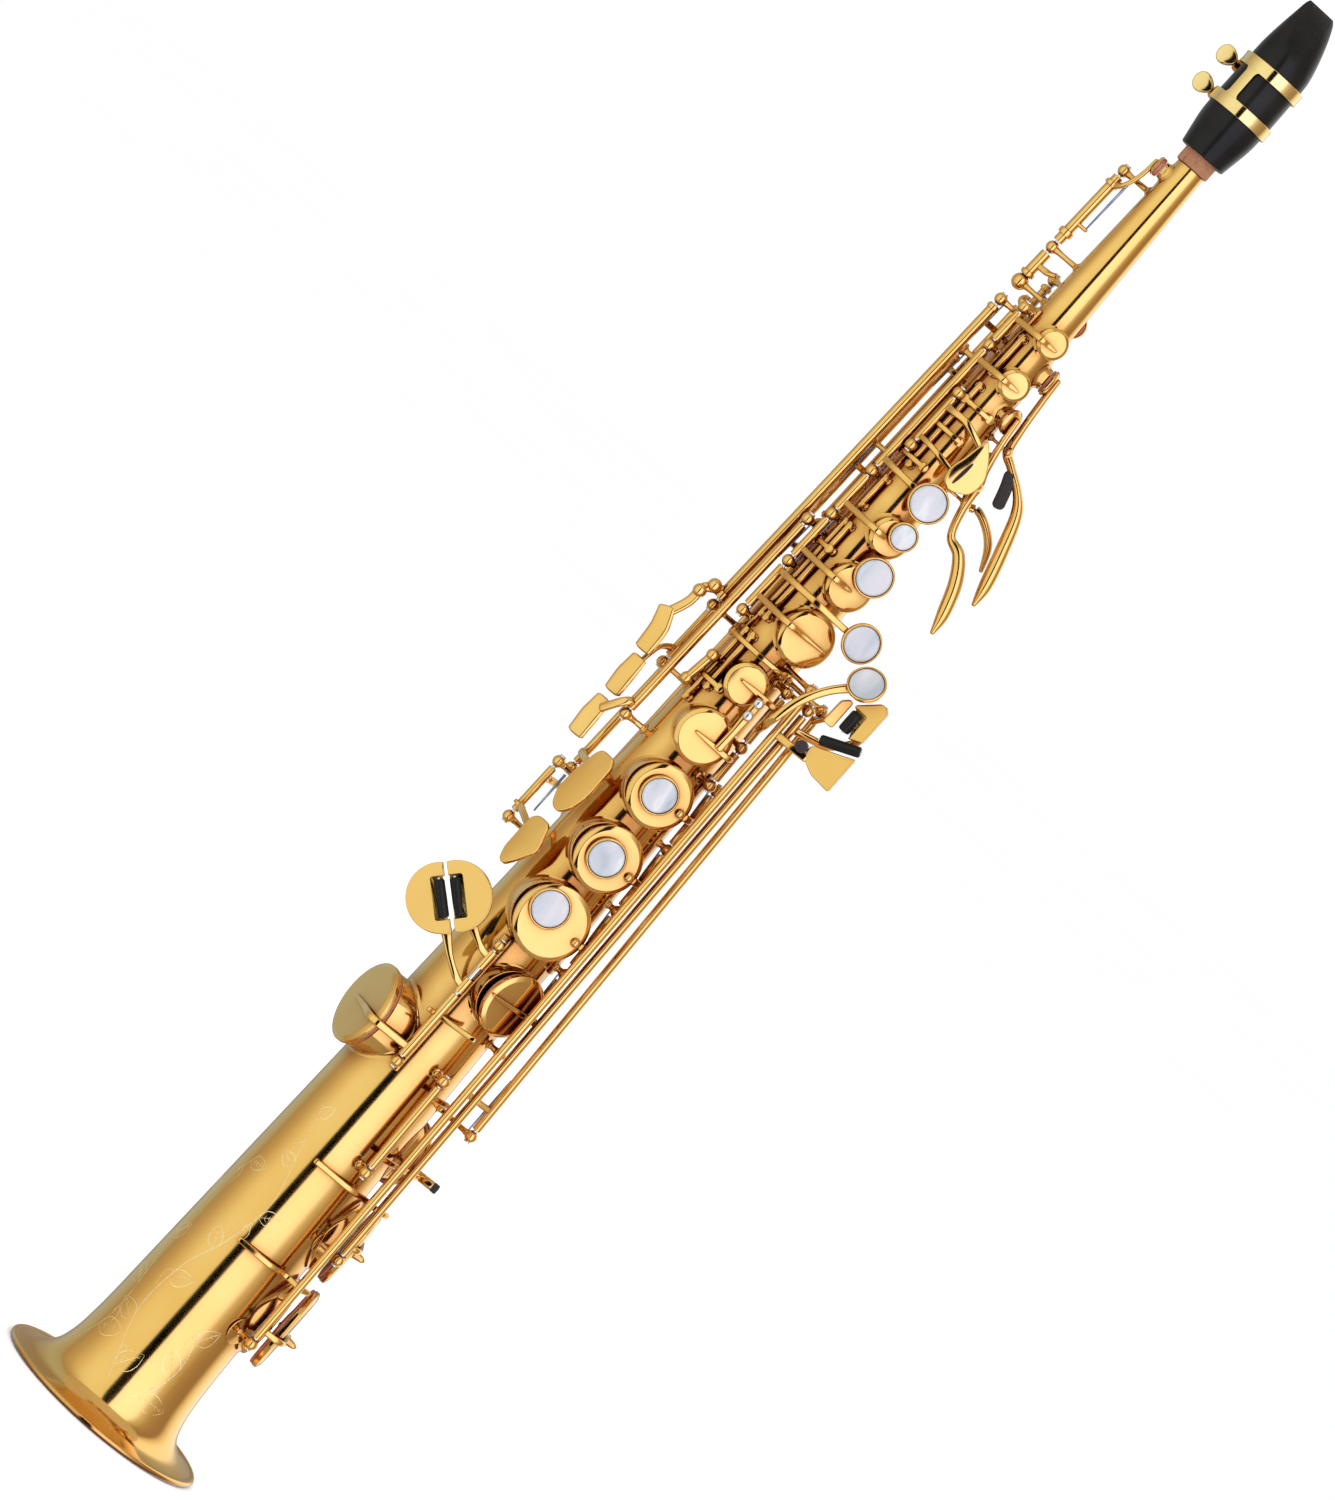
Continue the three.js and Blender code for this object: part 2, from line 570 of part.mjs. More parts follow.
// ---------------------------------------------------------------- left-hand table and low keys
const TABLE_Y = -20.2;
key('low_c_sharp_lever', {
  line: 'lowCSharp', sense: 1, travel: 7,
  parts: [
    hingeTube('lowCSharp', 175, 377),
    frontPlate([[32.4, 378.6], [37, 378.6], [37, 391], [35.4, 391.4], [32.8, 389]], TABLE_Y, 1.8),
    strap([hingeAt('lowCSharp', 375), point(33, -15, 379), point(34.8, TABLE_Y - 0.4, 382)],
      3, ARM_DEPTH),
    strap([hingeAt('lowCSharp', 184), point(31, -7.5, 184), point(26.5, -9.5, 184)], 2.6, ARM_DEPTH),
  ],
});
key('low_c_sharp_key', {
  line: 'lowCSharpCup', hole: 'low_c_sharp', travel: 7, follows: 'low_c_sharp_lever', ratio: 1,
  parts: [
    hingeTube('lowCSharpCup', 141, 180), cup('low_c_sharp'),
    cupArm('lowCSharpCup', 146, 'low_c_sharp',
      [at(52, 27.4, 146), at(75, 28, 146), at(88, 30.6, 146)], 0.3),
    rod(at(98, 31.6, 146.5), at(95, 41.5, 147), 1.9),
    strap([hingeAt('lowCSharpCup', 176), at(48, 27, 176), at(58, 26.8, 176)], 2.4, ARM_DEPTH),
  ],
});
// The stop arm that rests a low key on the front of the body when it stands open.
const STOP_LIFT = 6.6;            // height of its tip when the key is closed
const stopArm = (line, z, endPhi) => {
  const start = hingeAt(line, z);
  const [phi, r] = polar(start);
  const low = bodyRadius(z) + STOP_LIFT;
  return strap([at(phi + 9, r + 0.5, z), start, at(phi - 10, r - 5.2, z), at(phi - 28, low - 0.6, z),
    at(endPhi, low, z)], 2.4, 1.6);
};
const LOW_B_OUTLINE = [[44.8, 379.8], [50.2, 382], [50.4, 396.4], [48.6, 398.2], [46, 398],
  [39, 391.4], [39, 390.2], [44.8, 390.2]];
const LOW_B_FLAT_OUTLINE = [[35.8, 366], [38.4, 362.6], [43, 360.6], [52, 360], [52, 376], [35.8, 369.1]];
const LOW_B_ROLLER = [point(41.6, TABLE_Y - 1, 380.6), point(41.6, TABLE_Y - 1, 389.6)];
const LOW_B_FLAT_ROLLER = [point(36.6, TABLE_Y - 1, 372.7), point(51.6, TABLE_Y - 1, 379.2)];

key('low_b_key', {
  line: 'lowB', hole: 'low_b', open: 10,
  parts: [
    hingeTube('lowB', 108, 374.6), cup('low_b', 14), cupArm('lowB', 112, 'low_b', [], 0.3),
    rod(onCup('low_b', 0, -0.6, 108), onCup('low_b', 0, 6, 107), 1.8),
    stopArm('lowB', 129, 3),
    frontPlate(LOW_B_OUTLINE, TABLE_Y, 1.8),
    strap([hingeAt('lowB', 368.6), point(33, -14.4, 370), point(40, -11.8, 372.5),
      point(46.5, -12.4, 379.5), point(47.6, -16.6, 384), point(47.8, TABLE_Y - 0.4, 388)],
      3.2, ARM_DEPTH, point(0, -1, 0)),
  ],
});
key('low_b_flat_key', {
  line: 'lowBFlat', hole: 'low_b_flat', open: 10,
  parts: [
    hingeTube('lowBFlat', 63, 381), cup('low_b_flat', 14), cupArm('lowBFlat', 67, 'low_b_flat', [], 0.3),
    rod(onCup('low_b_flat', 0, -0.6, 66), onCup('low_b_flat', 0, 6, 65.4), 1.8),
    stopArm('lowBFlat', 88, -2),
    frontPlate(LOW_B_FLAT_OUTLINE, TABLE_Y, 1.8),
    strap([hingeAt('lowBFlat', 363.4), point(30, -22, 363.6), point(37.4, TABLE_Y - 0.8, 364)],
      3.2, ARM_DEPTH, point(0, -1, 0)),
  ],
});

// ---------------------------------------------------------------- side keys and high keys
// A side touch: a bowed bar that stands beside the body.
function sideTouch(x, low, high, flare) {
  const y = -4.6;
  return strap([point(x - flare, y, high), point(x, y - 0.6, (low + high) / 2 + 3),
    point(x + 0.6, y - 0.4, low)], [7.4, 7.8, 7.4], 2.4, point(-0.3, -1, 0));
}
key('side_e_key', {
  line: 'sideE', hole: 'side_e', travel: 7,
  parts: [
    hingeTube('sideE', 386.4, 537.2, 2.1), cup('side_e', 10),
    cupArm('sideE', 530, 'side_e', [at(-104, 15.2, 530), at(-124, 14.6, 530)]),
    strap([hingeAt('sideE', 390), point(-33.4, -4, 386), point(-34.4, -4.8, 378),
      point(-38, -4.6, 369)], 4, 2.2, point(-0.4, -1, 0)),
    sideTouch(-36, 353, 371, 3),
  ],
});
key('side_c_key', {
  line: 'sideC', hole: 'side_c', travel: 7,
  parts: [
    hingeTube('sideC', 357.4, 466), cup('side_c', 10), cupArm('sideC', 458, 'side_c'),
    strap([hingeAt('sideC', 361), point(-31.5, 1.4, 357.5), point(-33.6, -4.6, 346)],
      3.4, ARM_DEPTH, point(-1, -0.3, 0)),
    sideTouch(-34.2, 333.6, 349.8, 0),
  ],
});
key('side_b_flat_key', {
  line: 'sideBFlat', hole: 'side_b_flat', travel: 7,
  parts: [
    hingeTube('sideBFlat', 333.8, 428), cup('side_b_flat', 10),
    cupArm('sideBFlat', 420, 'side_b_flat', [at(-86, 19.4, 420), at(-104, 18.2, 420)]),
    strap([hingeAt('sideBFlat', 337), point(-28, -9.6, 334), point(-32.6, -6.2, 326.5)],
      3.4, ARM_DEPTH, point(-0.5, -1, 0)),
    sideTouch(-34.2, 312.6, 329.6, 0),
  ],
});

const HIGH_FACE = outward(-38);
const HIGH_F_SHARP_OUTLINE = [[4.5, 14.5], [-2.5, 14.5], [-4.5, 11], [-6.6, 0], [-7, -8], [-4, -13.6],
  [0, -14.6], [4, -11], [6.6, -3], [6.6, 11]];
const HIGH_G_OUTLINE = [[3, 11], [-3.6, 11], [-6.4, 8], [-6.6, -7], [-4.6, -11.5], [-1.6, -12],
  [1.6, -8], [6.8, -0.5], [6.6, 2.5]];
key('high_f_sharp_key', {
  line: 'highFSharp', hole: 'high_f_sharp', travel: 6,
  parts: [
    hingeTube('highFSharp', 303.4, 514), cup('high_f_sharp', 10),
    cupArm('highFSharp', 508, 'high_f_sharp', [at(-127, 17.4, 508), at(-142, 15.6, 508)]),
    plate(HIGH_F_SHARP_OUTLINE, point(-18.8, -17.2, 301.5), HIGH_FACE, 1.8),
    strap([hingeAt('highFSharp', 308.4), at(-100, 28, 308.4), at(-78, 26.4, 308.4),
      point(-20, -17.4, 308)], 3, ARM_DEPTH),
  ],
});
key('high_g_lever', {
  line: 'highGTouch', sense: 1, travel: 6,
  parts: [
    hingeTube('highGTouch', 275.2, 296.8, 1.6),
    plate(HIGH_G_OUTLINE, point(-19.6, -18, 270.8), HIGH_FACE, 1.8),
    strap([hingeAt('highGTouch', 278), point(-29, -7, 277.6), point(-22.4, -16.8, 275)],
      3, ARM_DEPTH),
    strap([hingeAt('highGTouch', 292), point(-29.4, 10.4, 292), point(-25.4, 16.4, 292)],
      3, ARM_DEPTH),
  ],
});
key('high_g_key', {
  line: 'highGCup', hole: 'high_g', travel: 6, follows: 'high_g_lever', ratio: 1,
  parts: [
    hingeTube('highGCup', 287.4, 556), cup('high_g', 10),
    cupArm('highGCup', 551, 'high_g', [at(-168, 17.4, 551), at(176, 15.4, 551)]),
    strap([hingeAt('highGCup', 296), at(-142, 30.6, 296), at(-135, 29.4, 296)], 2.6, ARM_DEPTH),
  ],
});

// ---------------------------------------------------------------- rollers and adjusting screws
function spinner(name, body, [from, to], radius) {
  const start = from.clone().applyMatrix4(restOf[body]);
  const direction = to.clone().applyMatrix4(restOf[body]).sub(start).normalize();
  const motion = {
    body: name, parent: body, kind: 'spin', point: start.toArray(), axis: direction.toArray(),
  };
  add(name, rod(from, to, radius, 8), ROLLER, motion, restOf[body]);
}
spinner('e_flat_roller', 'e_flat_lever', touchRoller(1), ROLLER_RADIUS);
spinner('low_c_roller', 'low_c_lever', touchRoller(-1), ROLLER_RADIUS);
spinner('low_b_roller', 'low_b_key', LOW_B_ROLLER, 2.4);
spinner('low_b_flat_roller', 'low_b_flat_key', LOW_B_FLAT_ROLLER, ROLLER_RADIUS);

// ---------------------------------------------------------------- ribs and posts
// A strip soldered along the body, with the posts that stand on it.
function rib(name, phi, low, high, posts) {
  const mid = (z) => over(phi, FIT + 0.8, z);
  const strip = strap([mid(low), mid(high)], 3.4, 1.2);
  const uprights = posts.map((centre) => join([
    rod(over(phi, 0.6, centre.z), centre, 1.2, 5), ball(centre, BALL)]));
  add(name, join([strip, ...uprights]), GOLD);
}
rib('left_hand_rib', -60, 386, 546,
  [389.5, 414.5, 438.5, 460.5, 524.5, 543.5].map((z) => hingeAt('leftStack', z)));
rib('right_hand_rib', 75, 239, 334,
  [241.7, 272.5, 302.5, 331.6].map((z) => hingeAt('rightStack', z)));
rib('pinky_rib', -5.5, 175, 239, [178, 235.6].map((z) => hingeAt('pinky', z)));

// ---------------------------------------------------------------- body tube
const OUTER = [[40.5, 0], [44.6, 0], [45.3, 0.8], [45.3, 1.9], [44.5, 2.6], [40, 2.8], [36, 4.1],
  [32.6, 6.4], [30.5, 8.6], [29.2, 11], [28, 15], [27, 20], [26.1, 30], [25.6, 40],
  [bodyRadius(CONE_BOTTOM), CONE_BOTTOM], [bodyRadius(330), 330], [bodyRadius(BODY_TOP), BODY_TOP],
  [TENON_RADIUS, BODY_TOP], [TENON_RADIUS, TENON_TOP]];
const INNER = [[TENON_RADIUS - WALL, TENON_TOP], [TENON_RADIUS - WALL, BODY_TOP - 20],
  [bodyRadius(330) - WALL, 330], [bodyRadius(CONE_BOTTOM) - WALL, CONE_BOTTOM], [24.4, 40],
  [24.9, 30], [25.8, 20], [26.8, 15], [28, 11], [29.4, 8], [31.8, 5.2], [35.6, 2.7]];
const BODY_SIDES = 20;

const HOLE_SIDES = 8;

function bodyTube() {
  const shell = turned([[0, 0], ...OUTER, [0, TENON_TOP]], point(0, 0, 0), BORE_AXIS, BODY_SIDES);
  const bore = turned([[0, -1], [40.5, -1], [40.5, 0], ...INNER.slice().reverse(),
    [TENON_RADIUS - WALL, TENON_TOP + 1], [0, TENON_TOP + 1]], point(0, 0, 0), BORE_AXIS, BODY_SIDES);
  const chimneys = [];
  const bores = [];
  for (const [phi, z, radius, height] of Object.values(HOLES)) {
    const wall = radius > 4 ? 1.1 : 0.9;
    const outer = radius - 0.9;
    const reach = bodyRadius(z) + height;
    const inner = Math.max(outer - wall, 1.2);
    chimneys.push(rod(at(phi, 1, z), at(phi, reach, z), outer, HOLE_SIDES));
    bores.push(rod(at(phi, 0, z), at(phi, reach + 1, z), inner, HOLE_SIDES));
  }
  const posts = [
    ['sideE', 383], ['sideE', 540.2], ['sideC', 354], ['sideC', 469], ['sideBFlat', 331],
    ['highFSharp', 300.4], ['highFSharp', 517], ['thumb', 431.4], ['thumb', 545.6],
    ['highGCup', 284.4], ['highGCup', 559], ['lowerOctave', 458.4], ['lowerOctave', 491.6],
    ['upperOctave', 550], ['upperOctave', 567.6], ['upperOctave', 606.6], ['highGTouch', 272],
    ['highGTouch', 300], ['frontF', 477.4], ['frontF', 503.4], ['gSharp', 332], ['gSharp', 350.3],
    ['gSharp', 377], ['lowCSharpCup', 138], ['lowCSharpCup', 183],
    ['lowBFlat', 384], ['lowB', 377.6], ['lowCSharp', 380.2], ['rightStack', 203],
  ].map(([line, z]) => post(hingeAt(line, z)));
  posts.push(post(hingeAt('lowBFlat', 60), 37, 6), post(hingeAt('lowB', 105), 34, 4));
  posts.push(post(hingeAt('lowCSharp', 172), 66), post(hingeAt('sideBFlat', 431), -82));
  for (const pivot of [PALM_F_PIVOT, PALM_E_FLAT_PIVOT, PALM_D_PIVOT]) {
    for (const side of [-4.4, 4.4]) {
      const centre = pivot.clone().setY(pivot.y + side);
      const foot = over(polar(centre)[0], -0.6, centre.z);
      posts.push(rod(foot, centre, 1.1, 5), ball(centre, 1.9));
    }
  }
  return join([shell, ...chimneys]).subtract(join([bore, ...bores])).add(join(posts));
}
add('body_tube', bodyTube().subtract(
  turned([[0, 0], [TENON_RADIUS - WALL, 0], [TENON_RADIUS - WALL, 40], [0, 40]],
    point(0, 0, TENON_TOP - 35), BORE_AXIS, BODY_SIDES)), GOLD);

// ---------------------------------------------------------------- thumb hook, thumb rest, strap ring
const BACK = 180;
add('thumb_hook', join([
  plate(oval(5, 9, 12), over(BACK, FIT, 292), outward(BACK), 1.6),
  strap([over(BACK, 1, 296), over(BACK, 8, 297), over(BACK, 15, 294), over(BACK, 20, 288),
    over(BACK, 21.5, 281)], [7, 8, 10, 11, 9], 2, point(0, 0, 1)),
]), GOLD);
add('thumb_rest', turned([[0, 0], [6.6, 0], [7, 1.6], [5, 3], [0, 3.4]], over(BACK, FIT, 401),
  outward(BACK), 14), EBONITE);
const STRAP_RING = over(BACK, 6.2, 334);
const ringSection = Array.from({ length: 5 }, (_, i) => {
  const angle = i / 5 * 2 * Math.PI;
  return new THREE.Vector2(4.6 + 1.1 * Math.cos(angle), 1.1 * Math.sin(angle));
});
const ringLathe = new THREE.LatheGeometry([...ringSection, ringSection[0].clone()], 12);
add('strap_ring', join([
  plate(oval(4, 7, 12), over(BACK, FIT, 334), outward(BACK), 1.3),
  solid(ringLathe.rotateZ(Math.PI / 2).translate(STRAP_RING.x, STRAP_RING.y, STRAP_RING.z)),
]), GOLD);

// ---------------------------------------------------------------- cork and mouthpiece
add('neck_cork', turned([[TENON_RADIUS + FIT, BODY_TOP + FIT], [CORK_RADIUS, BODY_TOP + FIT],
  [CORK_RADIUS, CORK_TOP - 1], [CORK_RADIUS - 0.6, CORK_TOP], [TENON_RADIUS + FIT, CORK_TOP],
  [TENON_RADIUS + FIT, BODY_TOP + FIT]], point(0, 0, 0), BORE_AXIS, 20), CORK);

const MOUTH_TURN = -72;          // the beak is turned from the right towards the front
const MOUTH_BOTTOM = 629;
const MOUTH_TOP = 700;
// height, beak side, table side, half width
const MOUTH_SECTIONS = [
  [629, 9.8, 9.8, 9.8], [632, 10.3, 10.3, 10.3], [641, 11.8, 11.6, 11.8], [647, 12.2, 11.8, 12.2],
  [658, 12.1, 11.2, 12.2], [672, 11.2, 10.6, 12], [678, 9.4, 10.4, 11.6], [686, 5.2, 10.2, 10.2],
  [693, 0.4, 9.9, 8.6], [698, -4.6, 9.6, 7.2], [700, -7.2, 9.2, 6],
];
const MOUTH_SIDES = 16;
function mouthSection([z, beak, table, half]) {
  const middle = (beak - table) / 2;
  const deep = (beak + table) / 2;
  return Array.from({ length: MOUTH_SIDES }, (_, i) => {
    const angle = i / MOUTH_SIDES * 2 * Math.PI;
    return point(middle + deep * Math.cos(angle), half * Math.sin(angle), z);
  });
}
function mouthpiece() {
  const outside = solid(new LoftGeometry(MOUTH_SECTIONS.map(mouthSection),
    { capStart: true, capEnd: true }));
  const bore = turned([[0, 0], [CORK_RADIUS + FIT, 0], [CORK_RADIUS + FIT, 21], [5, 24], [4.6, 45],
    [0, 47]], point(0, 0, MOUTH_BOTTOM - 1), BORE_AXIS, 20);
  const chamber = new THREE.BoxGeometry(5, 8.6, 40).translate(-8.4, 0, 679);
  const throat = new THREE.BoxGeometry(8, 7, 14).translate(-3.4, 0, 669);
  return outside.subtract(join([bore, solid(chamber), solid(throat)]));
}
add('mouthpiece', mouthpiece(), EBONITE, {
  body: 'mouthpiece', kind: 'slide', point: [0, 0, MOUTH_BOTTOM], axis: [0, 0, 1], range: [0, 6],
}, new THREE.Matrix4().makeRotationZ(radians(MOUTH_TURN)));

// ---------------------------------------------------------------- ligature
const BAND_LOW = 648;
const BAND_HIGH = 670.5;
const BAND_WIDE = 5;
const BAND_INNER = 12.6;
const BAND_OUTER = 13.5;
const LUG_PHI = -135;
// A wedge of the band's height between its two rims, cut out as a window.
function windowCut(fromPhi, toPhi) {
  const places = sweep([fromPhi, 13, 0], [toPhi, 13, 0], 6);
  const outline = places.map((p) => new THREE.Vector2(p.x * 1.4, p.y * 1.4));
  const inside = places.map((p) => new THREE.Vector2(p.x * 0.7, p.y * 0.7)).reverse();
  const slab = new THREE.ExtrudeGeometry(new THREE.Shape([...outline, ...inside]),
    { depth: BAND_HIGH - BAND_LOW - 2 * BAND_WIDE, bevelEnabled: false });
  return solid(slab.translate(0, 0, BAND_LOW + BAND_WIDE));
}
const SCREW_HEIGHTS = { upper: 664, lower: 650.5 };
const screwStart = (z) => at(LUG_PHI, 15, z);
const SCREW_WAY = point(-0.68, -0.73, 0).normalize();
function ligature() {
  const sleeve = turned([[BAND_INNER, BAND_LOW], [BAND_OUTER, BAND_LOW], [BAND_OUTER, BAND_HIGH],
    [BAND_INNER, BAND_HIGH], [BAND_INNER, BAND_LOW]], point(0, 0, 0), BORE_AXIS, 20);
  const windows = [windowCut(-24, 146), windowCut(160, 205), windowCut(-120, -43)];
  const lugs = Object.values(SCREW_HEIGHTS).map((z) => rod(
    screwStart(z).addScaledVector(SCREW_WAY, -3.4), screwStart(z).addScaledVector(SCREW_WAY, 3.4), 2.5, 8));
  return sleeve.subtract(join(windows)).add(join(lugs));
}
add('ligature', ligature(), PALE_GOLD, { body: 'mouthpiece' });
const LEAF_TURNS = { upper: 14, lower: -22 };   // how each screw stands in its turn
for (const [name, z] of Object.entries(SCREW_HEIGHTS)) {
  const from = screwStart(z).addScaledVector(SCREW_WAY, 3.4 + FIT);
  const neck = from.clone().addScaledVector(SCREW_WAY, 5);
  const face = outward(-8).applyAxisAngle(SCREW_WAY, radians(LEAF_TURNS[name]));
  const middle = neck.clone().addScaledVector(SCREW_WAY, 2.2).addScaledVector(face, -0.8);
  const head = plate(oval(4.2, 3.8, 10), middle, face, 1.6);
  const shank = rod(from, neck, 1.4);
  const heel = rod(neck, middle.clone().addScaledVector(face, 0.8), 1.3);
  add(`ligature_screw_${name}`, join([shank, heel, head]), PALE_GOLD, {
    body: `ligature_screw_${name}`, parent: 'mouthpiece', kind: 'turn', point: from.toArray(),
    axis: SCREW_WAY.toArray(), range: [0, 360],
  });
}

export default saxophone;
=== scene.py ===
# A soprano saxophone: its fine surfaces, materials, light and camera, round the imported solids.
#
# Lengths are in millimetres from the middle of the bell rim: +Z up the bore, -Y the front, +X the right
# of a viewer in front. `piece` turns them into metres; camera and studio are in metres from the start.
# A place on the body is (phi, r, z): phi in degrees round the body from the front towards +X, r from
# the bore axis, z up the body.
import json
import math

import bmesh
import bpy
from mathutils import Matrix, Quaternion, Vector


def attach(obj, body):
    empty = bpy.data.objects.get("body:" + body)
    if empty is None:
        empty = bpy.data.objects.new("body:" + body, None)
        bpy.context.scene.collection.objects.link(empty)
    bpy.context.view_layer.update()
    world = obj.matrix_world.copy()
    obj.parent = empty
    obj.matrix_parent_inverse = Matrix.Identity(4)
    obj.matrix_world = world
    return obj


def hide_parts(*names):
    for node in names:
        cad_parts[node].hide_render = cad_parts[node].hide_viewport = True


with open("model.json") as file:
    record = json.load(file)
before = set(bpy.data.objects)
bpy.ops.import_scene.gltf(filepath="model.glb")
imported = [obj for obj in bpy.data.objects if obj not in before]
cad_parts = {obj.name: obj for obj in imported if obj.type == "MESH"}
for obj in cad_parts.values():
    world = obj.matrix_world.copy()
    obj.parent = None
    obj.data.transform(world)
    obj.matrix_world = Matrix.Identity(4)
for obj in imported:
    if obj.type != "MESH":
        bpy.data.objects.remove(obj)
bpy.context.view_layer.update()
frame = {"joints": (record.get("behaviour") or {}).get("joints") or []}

MM = 0.001
JOINTS = {joint["child"]: joint for joint in frame["joints"]}


def into_scene(name, data):
    """A new object of `data`, linked into the scene."""
    made = bpy.data.objects.new(name, data)
    bpy.context.scene.collection.objects.link(made)
    return made


# ---------------------------------------------------------------- camera
CAMERA_AT = Vector((0, -2.435, 0.495))
LOOK_AT = Vector((-0.0035, 0, 0.3306))
LEAN = 41.36                     # how far the instrument leans to the right in the picture
LENS = 155.6


def make_camera():
    data = bpy.data.cameras.new("camera")
    data.lens = LENS
    data.clip_start, data.clip_end = 0.05, 60
    camera = into_scene("camera", data)
    camera.location = CAMERA_AT
    camera.rotation_mode = "QUATERNION"
    level = (LOOK_AT - CAMERA_AT).to_track_quat("-Z", "Y")
    camera.rotation_quaternion = level @ Quaternion((0, 0, 1), math.radians(LEAN))
    bpy.context.scene.camera = camera


make_camera()


# ---------------------------------------------------------------- materials
def material(name, colour, roughness, metallic=0.0, **sockets):
    """A Principled material; `sockets` are more inputs of the shader, by name with _ for spaces."""
    made = bpy.data.materials.new(name)
    made.use_nodes = True
    made.diffuse_color = (*colour, 1)
    shader = made.node_tree.nodes["Principled BSDF"]
    shader.inputs["Base Color"].default_value = (*colour, 1)
    shader.inputs["Roughness"].default_value = roughness
    shader.inputs["Metallic"].default_value = metallic
    for socket, value in sockets.items():
        shader.inputs[socket.replace("_", " ")].default_value = value
    return made


def node(made, kind, **values):
    """A node of `kind`, its named inputs and properties set."""
    new = made.node_tree.nodes.new(kind)
    for key, value in values.items():
        socket = key.replace("_", " ")
        if socket in new.inputs:
            new.inputs[socket].default_value = value
        else:
            setattr(new, key, value)
    return new


def link(made, source, target):
    made.node_tree.links.new(source, target)


def texture(made, kind, scale, squeeze=(1, 1, 1), **values):
    """A texture in the object's own metres, `scale` features to the metre, squeezed along an axis."""
    place = node(made, "ShaderNodeTexCoord")
    stretch = node(made, "ShaderNodeMapping")
    stretch.inputs["Scale"].default_value = squeeze
    new = node(made, kind, Scale=scale, **values)
    link(made, place.outputs["Object"], stretch.inputs["Vector"])
    link(made, stretch.outputs["Vector"], new.inputs["Vector"])
    return new


def ramp(made, source, stops):
    """A colour ramp over `source`: stops of (place, colour)."""
    new = node(made, "ShaderNodeValToRGB")
    elements = new.color_ramp.elements
    while len(elements) < len(stops):
        elements.new(0.5)
    for element, (place, colour) in zip(elements, stops):
        element.position = place
        element.color = (*colour, 1)
    link(made, source, new.inputs["Fac"])
    return new.outputs["Color"]


def spread(made, source, low, high):
    """`source` from 0..1 brought into low..high."""
    new = node(made, "ShaderNodeMapRange")
    new.inputs["To Min"].default_value = low
    new.inputs["To Max"].default_value = high
    link(made, source, new.inputs["Value"])
    return new.outputs["Result"]


def principled(made, socket):
    return made.node_tree.nodes["Principled BSDF"].inputs[socket]


def bump(made, source, distance, strength=1.0):
    """A raised surface from `source`, `distance` metres high."""
    new = node(made, "ShaderNodeBump", Strength=strength, Distance=distance)
    link(made, source, new.inputs["Height"])
    link(made, new.outputs["Normal"], principled(made, "Normal"))


def lacquered_brass(name, light, deep, rough, coat=0.25):
    """Polished brass under clear lacquer: slow drifts of colour, painted shade that darkens and reddens it
    where pieces crowd together, and a faint haze in the polish."""
    made = material(name, light, rough, 1.0, Coat_Weight=coat, Coat_Roughness=0.04, Coat_IOR=1.5)
    drift = texture(made, "ShaderNodeTexNoise", 24, Detail=3.0)
    # Painted shade: ambient occlusion darkens and reddens the base colour in crevices and between parts,
    # standing in for shade and dark reflections.
    crevice_occlusion = node(made, "ShaderNodeAmbientOcclusion", samples=5, Distance=0.011)
    painted_crevice_shade = ramp(made, crevice_occlusion.outputs["AO"], [
        (0.12, (0.08, 0.02, 0.012)), (0.48, (0.50, 0.27, 0.13)), (0.88, (1, 1, 1))])
    shaded = node(made, "ShaderNodeVectorMath", operation="MULTIPLY")
    link(made, ramp(made, drift.outputs["Fac"], [(0.3, deep), (0.7, light)]), shaded.inputs[0])
    link(made, painted_crevice_shade, shaded.inputs[1])
    link(made, shaded.outputs["Vector"], principled(made, "Base Color"))
    haze = texture(made, "ShaderNodeTexNoise", 260, (1, 1, 0.3), Detail=4.0, Roughness=0.65)
    link(made, spread(made, haze.outputs["Fac"], rough * 0.7, rough * 1.5),
         principled(made, "Roughness"))
    peel = texture(made, "ShaderNodeTexNoise", 420, Detail=1.0)
    bump(made, peel.outputs["Fac"], 0.000012, 0.35)
    return made


def engraved_brass():
    """The bright, dry cut of a graver, with the marks of its rocking."""
    made = material("engraved_brass", (0.95, 0.78, 0.45), 0.42, 1.0)
    marks = texture(made, "ShaderNodeTexWave", 900, Distortion=1.5, Detail=1.0)
    link(made, spread(made, marks.outputs["Fac"], 0.3, 0.55), principled(made, "Roughness"))
    bump(made, marks.outputs["Fac"], 0.00003, 0.6)
    return made


def mother_of_pearl():
    """Silvery shell with soft bands of growth that turn pink and green."""
    made = material("mother_of_pearl", (0.52, 0.53, 0.56), 0.16, 0.0, Coat_Weight=0.8,
                    Coat_Roughness=0.03, Specular_IOR_Level=0.7, Subsurface_Weight=0.08)
    principled(made, "Subsurface Radius").default_value = (0.002, 0.0015, 0.0015)
    bands = texture(made, "ShaderNodeTexNoise", 55, (1, 0.4, 0.35), Detail=2.5, Distortion=1.6)
    link(made, ramp(made, bands.outputs["Fac"], [
        (0.30, (0.27, 0.30, 0.34)), (0.45, (0.40, 0.42, 0.46)), (0.55, (0.47, 0.45, 0.48)),
        (0.64, (0.54, 0.55, 0.57)), (0.76, (0.36, 0.42, 0.42))]), principled(made, "Base Color"))
    grain = texture(made, "ShaderNodeTexNoise", 700, (1, 0.3, 0.2), Detail=3.0)
    link(made, spread(made, grain.outputs["Fac"], 0.10, 0.26), principled(made, "Roughness"))
    bump(made, bands.outputs["Fac"], 0.00006, 0.35)
    return made


